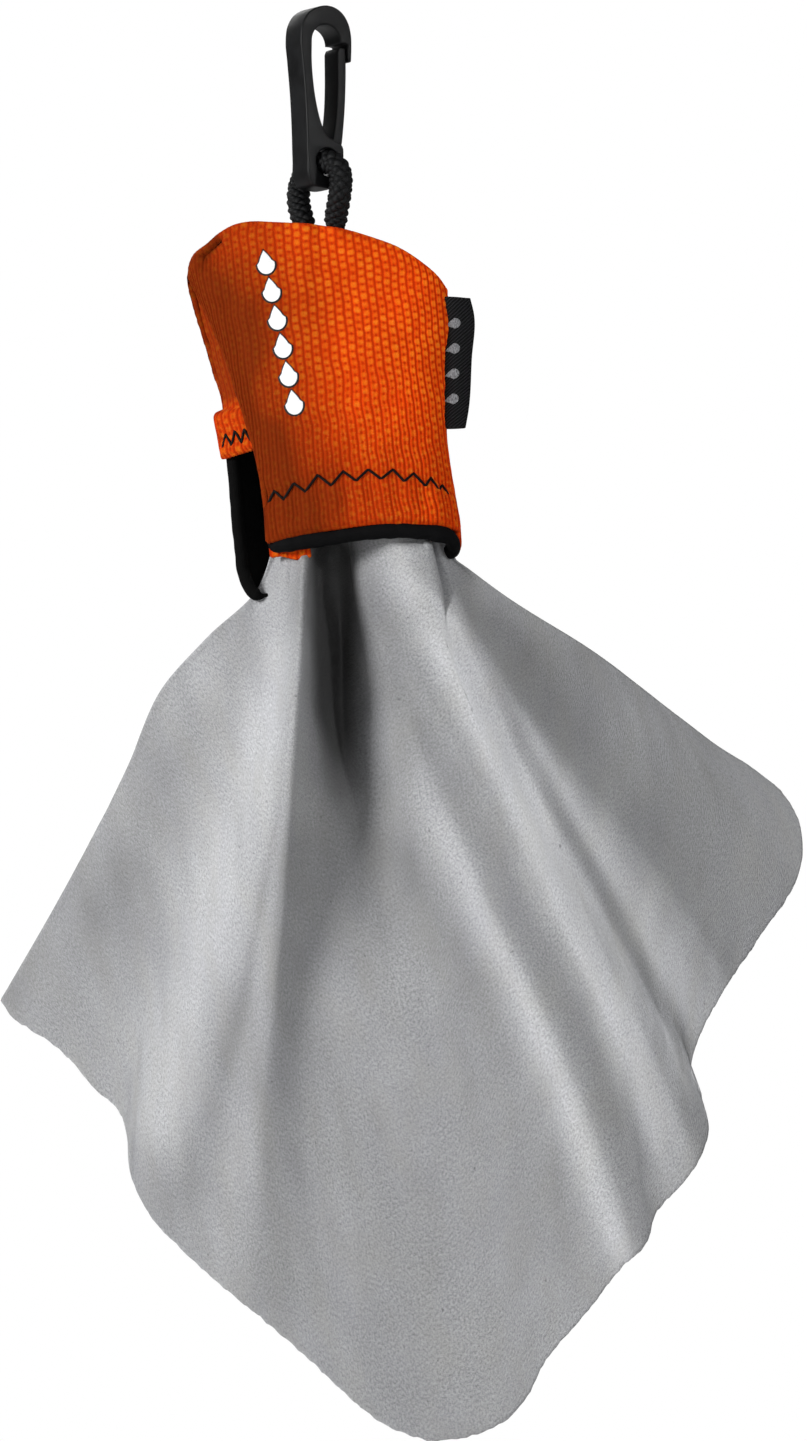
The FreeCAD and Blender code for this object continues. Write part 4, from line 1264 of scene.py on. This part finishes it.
Y -= fold(x, z, [(5.8, -96.0), (7.9, -110.7), (11.6, -121.9), (16.6, -137.9), (22.5, -152.9), (27.4, -167.9), (31.2, -181.9), (35.0, -199.5)], [0.2, 1.2, 2.6, 3.0, 3.0, 2.9, 2.6], [2.2, 2.6, 3.1, 3.5, 3.9, 4.0], [3.5, 5, 6, 7, 7])
Y -= fold(x, z, [(5.6, -72.4), (13.6, -82.3), (18.2, -93.7), (23.8, -109.6), (28.9, -124.7), (33.0, -138.7), (37.5, -152.7), (42.6, -166.8), (47.0, -181.8)], [5.4, 5.2, 4.6, 4.1, 3.8, 3.4, 2.6], [5.0, 3.6, 3.0, 2.8, 2.8, 3.1, 3.6], [3.6, 4.2, 4.5, 4.8, 5, 5, 5])
Y -= fold(x, z, [(24.2, -110.6), (28.3, -120.1), (35.5, -137.1), (43.0, -156.0), (50.3, -172.2)], [0.2, 1.0, 1.5, 1.4, 0.8], [2.0, 2.4, 2.6], [1.8, 2.2, 2.6])
Y -= fold(x, z, [(14.9, -78.8), (19.0, -88.3), (24.4, -99.8), (29.4, -109.3), (34.2, -118.9), (39.5, -128.5), (44.8, -138.1), (49.6, -147.7), (54.1, -157.2)], [2.0, 2.6, 2.6, 2.4, 2.0, 1.3], [3.2, 3.4, 3.8, 4.2], [3.5, 4.5, 6, 7])
# the deep fold under the mouth, and the hollow it runs out in
Y += fold(x, z, [(-4.2, -71.4), (-5.2, -85.8), (-6.4, -100.1), (-6.4, -112.8), (-4.4, -127.5), (-1.9, -144.0)], [8.0, 8.4, 7.2, 5.0, 3.0, 1.2], [3.0, 4.0, 5.5, 8, 11], [3.0, 4.0, 5.6, 8, 11])
Y += 1.2 * np.exp(-((x - 6) / 22.0) ** 2) * np.clip((-140 - z) / 40.0, 0, 1)
Y += fold(x, z, [(-67.7, -141.7), (-54.3, -116.8), (-41.5, -98.3), (-31.1, -85.8)], [0.8, 1.2, 1.2, 0.6], [4], [7])
CG[..., 1] = CG[..., 1] * (1 - open_) + Y * open_
NC = grid_normals(CG)
sc = -1.0 if np.mean(NC[n_ // 2:, :, 1]) > 0 else 1.0
x, z = CG[..., 0], CG[..., 2]
free = np.clip((-74.0 - z) / 22.0, 0, 1)
# soft secondary wrinkles that run down the folds, and cross creases
w1 = noise2(UU * 1.0, VV * 0.16, 11.0, 101, 2)
w2 = noise2(UU * 0.8, VV * 0.9, 15.0, 103, 3)
w3 = noise2(UU * 1.0, VV * 0.12, 5.0, 105, 1) * np.clip((-74 - z) / 10.0, 0, 1) * np.clip((z + 150) / 60.0, 0, 1)
calm = 1 - 0.7 * np.clip((x - np.interp(-z, [70, 100, 130, 160, 200], [14, 25, 44, 60, 66]) - 2.0) / 8.0, 0, 1)
CG = CG + NC * (calm * free * (0.05 * w1 + 0.12 * w2) + 0.03 * calm * w3)[..., None]

# inside the pouch the cloth stays clear of the linings
inside = np.clip((CG[..., 2] + 71.0) / 3.0, 0, 1)
lim = np.clip(half_depth(np.clip(CG[..., 0], -20, 15), np.clip(CG[..., 2], -79, -20)) - 2.6, 0.3, 5)
CG[..., 1] = np.where(inside > 0, np.clip(CG[..., 1], -lim, lim), CG[..., 1])
CG = smooth_rows(CG, 2)
ragged = 0.22 * noise2(UU, VV, 3.0, 120, 2)
edge_w = np.exp(-((n_ - 1 - np.arange(n_)) / 2.5) ** 2)[:, None]
CG[..., 2] += ragged * edge_w
CG = CG[:, ::1]

a_mid = 0.0
d1 = CG[1:, :-1] - CG[:-1, :-1]
d2 = CG[:-1, 1:] - CG[:-1, :-1]
area = np.linalg.norm(np.cross(d1, d2), axis=2).sum() * 1e-6
print("cloth middle area m2", round(float(area), 5), "of 0.02299")

x, z = CG[..., 0], CG[..., 2]
# Painted shade and highlight along the folds, kept as a per-vertex value for the cloth's colour (higher is darker): the
# right wing, the hollow under the mouth, the far left and several valleys are painted darker, and the crests of several
# ridges are painted lighter; a little random tone is added last. The same value lies on both faces of the cloth.
nap_and_painted_light = 0.31 + 0.22 * np.clip((x - xr_ - 0.5) / 6.0, 0, 1) * np.clip((z + 165) / 42.0, 0.2, 1) - 0.12 * np.clip((x - 52) / 22.0, 0, 1)
nap_and_painted_light += 0.2 * fold(x, z, [(-6.2, -71.2), (-7.4, -85.6), (-8.3, -99.9), (-8.0, -112.6), (-5.6, -125.6), (-2.6, -138.5)], [4.8, 4.5, 3.8, 2.8, 1.6, 0.7], [4.5, 5.0, 7.0], [7.0, 9.0, 11.0])
nap_and_painted_light += 0.20 * fold(x, z, [(2.6, -126.4), (10.1, -145.3), (17.1, -164.2), (22.2, -181.0), (27.0, -196.0)], [1, 0.9, 0.6, 0.45, 0.35], [8.0], [3.5])
nap_and_painted_light += 0.09 * np.clip((-34.0 - x) / 12.0, 0, 1) * np.clip((z + 160) / 40.0, 0, 1)
nap_and_painted_light += 0.14 * fold(x, z, [(-59.8, -143.4), (-51.9, -128.8), (-42.9, -111.7), (-34.6, -98.1)], [0.8, 1, 1, 0.5], [6.5], [8])
nap_and_painted_light += 0.18 * fold(x, z, [(2.9, -83.0), (4.1, -94.0), (7.5, -106.1), (12.8, -119.4)], [0.7, 1, 1, 0.5], [3.4], [3.0])
nap_and_painted_light -= 0.33 * fold(x, z, [(-15.1, -88.4), (-21.3, -103.1), (-30.9, -128.3), (-39.6, -149.1), (-46.5, -168.3)], [0.6, 1, 1, 1, 0.8], [5, 6.5, 7.5], [4.4, 5.6, 6])
nap_and_painted_light -= 0.31 * fold(x, z, [(8.6, -80.0), (14.3, -95.1), (21.8, -117.6), (27.1, -136.2), (34.0, -155.1), (39.5, -173.7), (43.0, -188.6)], [1], [3.3], [2.3])
nap_and_painted_light -= 0.28 * fold(x, z, [(8.2, -119.8), (14.1, -136.7), (19.9, -151.8), (25.4, -168.6), (29.7, -187.2), (32.6, -199.3)], [0.5, 1, 1, 1, 1], [2.6], [3.0])
nap_and_painted_light += 0.12 * fold(x, z, [(14.7, -115.0), (21.8, -133.9), (27.4, -148.9), (33.6, -167.7), (38.4, -182.7)], [1], [3.0], [3.0])
nap_and_painted_light += 0.14 * fold(x, z, [(-18.5, -124.2), (-22.4, -149.1), (-26.4, -170.4), (-30.5, -193.5)], [1.3, 1.0, 0.4], [3.5, 6], [4.5, 8])
nap_and_painted_light += 0.14 * fold(x, z, [(-16.2, -102.7), (-20.1, -118.6), (-25.0, -134.4), (-29.7, -150.2), (-35.0, -164.1)], [0.6, 1, 1, 0.7, 0.3], [1.1], [1.1])
nap_and_painted_light += 0.10 * fold(x, z, [(-15.5, -108.2), (-19.0, -124.2), (-23.1, -141.8), (-27.8, -163.0)], [0.6, 1, 0.8, 0.4], [1.0], [1.0])
nap_and_painted_light += 0.11 * fold(x, z, [(21.4, -97.6), (28.3, -114.6), (35.9, -133.5), (41.9, -148.7), (48.8, -165.7)], [0.6, 1, 1, 0.8, 0.5], [1.1], [1.1])
nap_and_painted_light -= 0.12 * fold(x, z, [(23.4, -97.8), (30.5, -114.9), (38.2, -133.8), (44.6, -148.9), (51.2, -164.1)], [0.6, 1, 1, 0.8, 0.5], [1.4], [1.4])
nap_and_painted_light -= 0.20 * fold(x, z, [(27.2, -116.3), (34.1, -133.4), (41.3, -153.1), (47.3, -170.0)], [0.6, 1, 1, 0.9], [3.2], [3.4])
nap_and_painted_light += 0.17 * fold(x, z, [(-12.3, -114.0), (-14.2, -128.3), (-17.1, -142.4), (-20.6, -158.4)], [0.5, 1, 0.8, 0.3], [3.2], [5.5])
nap_and_painted_light += 0.08 * fold(x, z, [(-29.9, -148.3), (-38.0, -165.6), (-44.4, -181.2)], [1], [4], [4])
nap_and_painted_light -= 0.14 * fold(x, z, [(36.8, -137.3), (42.3, -148.7), (46.4, -158.2), (49.5, -165.7)], [0.7, 1, 1, 0.7], [3.2], [3.6])
nap_and_painted_light += 0.09 * fold(x, z, [(-68.2, -142.2), (-61.8, -136.8), (-53.2, -124.2)], [1, 1, 0.5], [5], [6])
nap_and_painted_light += 0.08 * fold(x, z, [(28.0, -143.6), (33.7, -157.8), (38.7, -170.9), (43.4, -183.2)], [0.6, 1, 1, 0.5], [1.2], [1.2])
nap_and_painted_light += 0.07 * noise2(UU, VV, 26.0, 140, 3)
nap_and_painted_light = np.clip(nap_and_painted_light, 0, 1)
cloth = thick_shell("towel_cloth", CG, 0.22, 0.22, np.stack([UU, VV], -1), {"nap_and_painted_light": nap_and_painted_light}, 3, sc)
finish_piece(cloth, CLOTH, None, ["cloth", "cloth_neck"])
tuple(world((-1.0, 0, -68.0)))
tuple(world((-1.0, 0, -75.0)))
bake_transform(cloth)

# ================================================================== hook
def turn(p):
    """From the hook's own (across, back, up) to mm about the eye."""
    p = np.asarray(p, float)
    s, d, u = p[..., 0], p[..., 1], p[..., 2]
    x = s * math.cos(TURN) - d * math.sin(TURN)
    y = s * math.sin(TURN) + d * math.cos(TURN)
    return np.stack([x * math.cos(LEAN) + u * math.sin(LEAN), y, u * math.cos(LEAN) - x * math.sin(LEAN)], -1)


def arc3(a, b, c, n=14):
    """Arc through three points in the plane."""
    (ax, ay), (bx_, by), (cx, cy) = a, b, c
    d = 2 * (ax * (by - cy) + bx_ * (cy - ay) + cx * (ay - by))
    ux = ((ax ** 2 + ay ** 2) * (by - cy) + (bx_ ** 2 + by ** 2) * (cy - ay) + (cx ** 2 + cy ** 2) * (ay - by)) / d
    uy = ((ax ** 2 + ay ** 2) * (cx - bx_) + (bx_ ** 2 + by ** 2) * (ax - cx) + (cx ** 2 + cy ** 2) * (bx_ - ax)) / d
    r = math.hypot(ax - ux, ay - uy)
    t0, t1, t2 = (math.atan2(q[1] - uy, q[0] - ux) for q in (a, b, c))
    def between(lo, m, hi):
        return (m - lo) % (2 * math.pi) < (hi - lo) % (2 * math.pi)
    span = (t2 - t0) % (2 * math.pi)
    if not between(t0, t1, t2):
        span -= 2 * math.pi
    return [(ux + r * math.cos(t0 + span * k / n), uy + r * math.sin(t0 + span * k / n)) for k in range(n + 1)]


def flat_outline(outline, holes, thick, bevel, name, res=5):
    """Bevelled plate from closed outlines in (across, up), mm."""
    cu = bpy.data.curves.new(name + "_c", "CURVE")
    cu.dimensions = "2D"
    cu.fill_mode = "BOTH"
    cu.resolution_u = 1
    for pts in [outline] + holes:
        sp = cu.splines.new("POLY")
        sp.points.add(len(pts) - 1)
        for q, p in zip(sp.points, pts):
            q.co = (p[0], p[1], 0, 1)
        sp.use_cyclic_u = True
    cu.extrude = thick / 2 - bevel
    cu.bevel_depth = bevel
    cu.bevel_resolution = res
    cu.offset = -bevel
    ob = bpy.data.objects.new(name + "_c", cu)
    bpy.context.scene.collection.objects.link(ob)
    bpy.context.view_layer.update()
    me = bpy.data.meshes.new_from_object(ob)
    v = np.zeros(len(me.vertices) * 3)
    me.vertices.foreach_get("co", v)
    v = v.reshape(-1, 3)
    faces = [list(f.vertices) for f in me.polygons]
    bpy.data.objects.remove(ob, do_unlink=True)
    # weld
    key = {}
    remap = np.zeros(len(v), int)
    keep = []
    for i, q in enumerate(np.round(v, 4)):
        k_ = tuple(q)
        if k_ not in key:
            key[k_] = len(keep)
            keep.append(v[i])
        remap[i] = key[k_]
    keep = np.array(keep)
    fs = []
    for f in faces:
        g = [int(remap[i]) for i in f]
        h = [g[i] for i in range(len(g)) if g[i] != g[i - 1]]
        if len(h) > 2:
            fs.append(h)
    return keep, fs


OUTER = [(3.45, 2.2), (3.45, 0.0), (3.3, -2.6), (2.5, -4.2), (0.9, -4.72), (-1.3, -4.7), (-3.2, -4.35), (-4.05, -3.0),
         (-4.3, 0.5), (-4.5, 6.0), (-4.85, 12.0), (-5.5, 18.5), (-5.85, 22.0), (-5.45, 24.9), (-4.2, 26.9),
         (-2.2, 28.1), (-0.2, 28.55), (1.6, 28.3), (3.2, 27.4), (4.4, 25.8), (5.05, 23.6), (5.15, 21.2), (5.08, 19.0)]
o_ = [tuple(q) for q in curve(OUTER, np.linspace(0, 1, 150))]
o_ += [(5.0, 18.7), (4.75, 18.6), (4.5, 18.8), (4.42, 19.3), (4.42, 20.6), (4.4, 21.4), (4.25, 21.8), (3.8, 21.9), (3.1, 21.9)]
o_ += arc3((2.75, 21.9), (-0.35, 25.0), (-3.45, 21.9), 30)
o_ += [tuple(q) for q in curve([(-3.45, 21.9), (-3.45, 18.0), (-3.15, 14.6), (-2.5, 10.8), (-1.6, 7.6), (-0.6, 5.3)], np.linspace(0, 1, 40))[1:]]
o_ += arc3((-0.6, 5.3), (0.35, 4.5), (1.1, 4.35), 8)[1:]
o_ += [(1.5, 4.1), (2.1, 3.85), (2.8, 3.6), (3.2, 3.15), (3.4, 2.7)]
hole = [(2.5 * math.cos(q), 2.5 * math.sin(q)) for q in np.linspace(0, 2 * math.pi, 56, endpoint=False)]


def plate(name, outline, holes, thick, bevel, mat):
    v, f = flat_outline(outline, holes, thick, bevel, name)
    P = turn(np.stack([v[:, 0], v[:, 2], v[:, 1]], -1))
    f = [q[::-1] for q in f]
    ob = add_mesh(name, world(P), f, v[:, :2])
    me = ob.data
    # every face is shaded smooth
    for poly in me.polygons:
        poly.use_smooth = True
    mod = ob.modifiers.new("n", "WEIGHTED_NORMAL") if False else None
    return finish_piece(ob, mat)


hook = plate("snap_hook", o_, [hole], 5.4, 0.32, HOOK)
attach(hook, "clip")
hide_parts("clip_body")

gx, gz = 2.55, 4.6
g_ = [(1.35, 3.9), (1.4, 2.9), (1.7, 2.35), (2.3, 2.1), (2.8, 2.3), (3.2, 2.9), (3.42, 3.8)]
g_ += [tuple(q) for q in curve([(3.55, 4.8), (3.95, 9.0), (4.2, 14.0), (4.24, 18.0), (4.12, 20.3)], np.linspace(0, 1, 50))]
g_ += [(4.05, 20.9), (3.9, 21.15), (3.6, 21.2), (2.95, 21.2), (2.6, 21.0), (2.4, 20.6)]
g_ += [tuple(q) for q in curve([(2.3, 20.2), (2.35, 14.0), (2.1, 9.0), (gx - 1.05, gz)], np.linspace(0, 1, 50))[:-1]]
gate = plate("snap_gate", g_, [], 4.4, 0.3, HOOK)
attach(gate, "gate")
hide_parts("clip_gate")

# ================================================================== floor, light
def area_light(name, loc, target, size, power, col=(1, 1, 1), size_y=None):
    d = bpy.data.lights.new(name, "AREA")
    d.energy = power
    d.color = col
    d.size = size
    if size_y:
        d.shape = "RECTANGLE"
        d.size_y = size_y
    o = bpy.data.objects.new(name, d)
    o.location = loc
    v = Vector(target) - Vector(loc)
    o.rotation_euler = v.to_track_quat("-Z", "Y").to_euler()
    bpy.context.scene.collection.objects.link(o)
    return o


w = bpy.data.worlds.new("studio")
bpy.context.scene.world = w
w.use_nodes = True
wt = w.node_tree
bg = wt.nodes["Background"]
bg.inputs["Color"].default_value = (1, 1, 1, 1)
bg.inputs["Strength"].default_value = 0.15
bright = wt.nodes.new("ShaderNodeBackground")
bright.inputs["Color"].default_value = (1, 1, 1, 1)
bright.inputs["Strength"].default_value = 1.0
lp = wt.nodes.new("ShaderNodeLightPath")
ms = wt.nodes.new("ShaderNodeMixShader")
wt.links.new(lp.outputs["Is Camera Ray"], ms.inputs[0])
wt.links.new(bg.outputs[0], ms.inputs[1])
wt.links.new(bright.outputs[0], ms.inputs[2])
wt.links.new(ms.outputs[0], wt.nodes["World Output"].inputs["Surface"])
mid_p = world((0, 0, -100))
area_light("key", tuple(mid_p + np.array([-0.90, -0.62, 0.42])), tuple(mid_p), 0.30, 14.5)
area_light("fill", tuple(mid_p + np.array([0.30, -1.15, 0.20])), tuple(mid_p), 0.8, 1.7)
area_light("back", tuple(mid_p + np.array([-0.45, 1.15, 0.55])), tuple(mid_p), 0.7, 7.0)
sd = bpy.data.lights.new("pouch_spot", "SPOT")
sd.energy = 78.0
sd.spot_size = math.radians(6.8)
sd.spot_blend = 0.75
sd.shadow_soft_size = 0.12
so = bpy.data.objects.new("pouch_spot", sd)
so.location = tuple(mid_p + np.array([0.88, -0.52, 0.28]))
so.rotation_euler = (Vector(world((4, 0, -34))) - Vector(so.location)).to_track_quat("-Z", "Y").to_euler()
bpy.context.scene.collection.objects.link(so)
sc_ = bpy.context.scene
sc_.view_settings.view_transform = "Standard"
sc_.view_settings.look = "None"
sc_.view_settings.exposure = 0.0
sc_.view_settings.gamma = 1.0

floor_me = bpy.data.meshes.new("floor")
fz = float(cad_box[0][2]) - 0.16
floor_me.from_pydata([(-1.6, -1.6, fz), (1.6, -1.6, fz), (1.6, 1.6, fz), (-1.6, 1.6, fz)], [], [(0, 1, 2, 3)])
floor = bpy.data.objects.new("floor", floor_me)
bpy.context.scene.collection.objects.link(floor)
fm = Mat("floor_pale")
fo = fm.obj()
fm.set(color=fm.mix(fm.noise(fo, 3.0, 3), srgb(244, 244, 245), srgb(250, 250, 250)), rough=0.9, spec=0.1)
floor.data.materials.append(fm.m)

# ================================================================== cord
# The route of the loop, and its two ends inside the top seam.
ROUTE = [(2.6, -2.9, -10.8), (5.0, -2.3, -6.4), (5.7, -1.0, -2.6), (3.4, -0.2, 0.1),
         (-3.4, 0.2, 0.1), (-5.7, 0.6, -2.6), (-5.0, 0.2, -6.6), (-1.5, 0.9, -10.8)]


def loop_pt(p):
    d, t, z = p
    return (-math.sin(TURN) * d + math.cos(TURN) * t, math.cos(TURN) * d + math.sin(TURN) * t, z)


route = [np.array(loop_pt(p)) for p in ROUTE]
route[0] = np.array([-3.9, 0.25, -10.8])
route[-1] = np.array([1.55, -0.15, -10.8])
route = [np.array([-3.85, 0.0, -14.0])] + route + [np.array([1.45, 0.0, -14.0])]
cc = bpy.data.curves.new("cord_route", "CURVE")
cc.dimensions = "3D"
cc.resolution_u = 40
sp = cc.splines.new("NURBS")
sp.points.add(len(route) - 1)
for q, p in zip(sp.points, route):
    q.co = (*world(p), 1)
sp.order_u = 3
sp.use_endpoint_u = True
co_ = bpy.data.objects.new("cord_route", cc)
bpy.context.scene.collection.objects.link(co_)
bpy.context.view_layer.update()
rm = bpy.data.meshes.new_from_object(co_)
line_m = np.array([tuple(v.co) for v in rm.vertices])
bpy.data.objects.remove(co_, do_unlink=True)
cl = np.linalg.norm(np.diff(line_m, axis=0), axis=1).sum()
print("cord line", round(float(cl), 5), "points", len(line_m))

NS = 72
rings = line_m / MM - EYE
nR = 420 if FINE == 1 else 300
L0 = arc_param(rings)
ring_c = np.stack([np.interp(np.linspace(0, 1, nR), L0, rings[:, i]) for i in range(3)], -1)
for _ in range(2):
    ring_c[1:-1] = 0.5 * ring_c[1:-1] + 0.25 * (ring_c[:-2] + ring_c[2:])
t_ = np.gradient(ring_c, axis=0)
t_ /= np.linalg.norm(t_, axis=1, keepdims=True)
u_ = np.cross(t_[0], [0, 1.0, 0.3])
u_ /= np.linalg.norm(u_)
US = [u_]
for i in range(1, nR):
    u_ = US[-1] - t_[i] * np.dot(US[-1], t_[i])
    US.append(u_ / np.linalg.norm(u_))
US = np.array(US)
WS = np.cross(t_, US)
Lr = np.r_[0, np.cumsum(np.linalg.norm(np.diff(ring_c, axis=0), axis=1))]
ang = np.linspace(0, 2 * math.pi, NS, endpoint=False)
AA, LL = np.meshgrid(ang, Lr)
pitch, strands = 9.4, 6
p1 = AA / (2 * math.pi) * strands + LL / pitch * strands
p2 = AA / (2 * math.pi) * strands - LL / pitch * strands
# strands pass over and under each other in turn
f1, f2 = p1 - np.floor(p1), p2 - np.floor(p2)
odd = (np.floor(p1) + np.floor(p2)) % 2
s1 = np.sin(math.pi * f1) ** 0.8 * (0.45 + 0.55 * np.sin(math.pi * f2) ** 0.7)
s2 = np.sin(math.pi * f2) ** 0.8 * (0.45 + 0.55 * np.sin(math.pi * f1) ** 0.7)
hb = np.where(odd > 0.5, s1, s2)
rr_ = 1.96 + 0.46 * (hb - 0.5)
rr_ = rr_ * np.interp(-ring_c[:, 2], [10.6, 12.4, 14.5], [1.0, 0.72, 0.55])[:, None]
Vc = ring_c[:, None] + rr_[..., None] * (US[:, None] * np.cos(ang)[None, :, None] + WS[:, None] * np.sin(ang)[None, :, None])
faces = []
for i in range(nR - 1):
    for j in range(NS):
        k = (j + 1) % NS
        faces.append((i * NS + j, i * NS + k, (i + 1) * NS + k, (i + 1) * NS + j))
V_ = Vc.reshape(-1, 3)
faces += [tuple(range(NS))[::-1], tuple((nR - 1) * NS + j for j in range(NS))]
cord = add_mesh("cord_loop_braid", world(V_), faces, np.stack([AA * 2.0, LL], -1).reshape(-1, 2), {"knit": hb.reshape(-1)})
finish_piece(cord, CORD, None, ["cord_loop", "cord_tails"])
tuple(world((-1.2, 0, -8.6)))
tuple(world((-1.2, 0, -12.2)))
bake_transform(cord)
tuple(world(ring_c[0]))
[tuple(world(q)) for q in ring_c]

# the stitching that ties the cord's ends inside the pouch
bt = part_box("cord_bartack")
lo, hi = np.array(bt[0]) / MM - EYE, np.array(bt[1]) / MM - EYE
obs = []
k = 11
for i in range(k):
    x0 = lo[0] + 0.4 + (hi[0] - lo[0] - 0.8) * i / k
    x1 = x0 + (hi[0] - lo[0] - 0.8) / k
    for yy in (lo[1] + 0.25, hi[1] - 0.25):
        obs.append(tube(f"bt{i}{yy:.1f}", [(x0, yy, lo[2] + 0.35), ((x0 + x1) / 2, yy, (lo[2] + hi[2]) / 2), (x1, yy, hi[2] - 0.35)], 0.22, 6))
        obs.append(tube(f"bu{i}{yy:.1f}", [(x1, yy, lo[2] + 0.35), ((x0 + x1) / 2, yy * 0.98, (lo[2] + hi[2]) / 2), (x0, yy, hi[2] - 0.35)], 0.22, 6))
finish_piece(join("cord_end_stitching", obs), THREAD, "pouch", ["cord_bartack"])

for name in frame["nodes"]:
    ob = bpy.data.objects.get(name if isinstance(name, str) else name.get("name", ""))

bpy.context.view_layer.update()
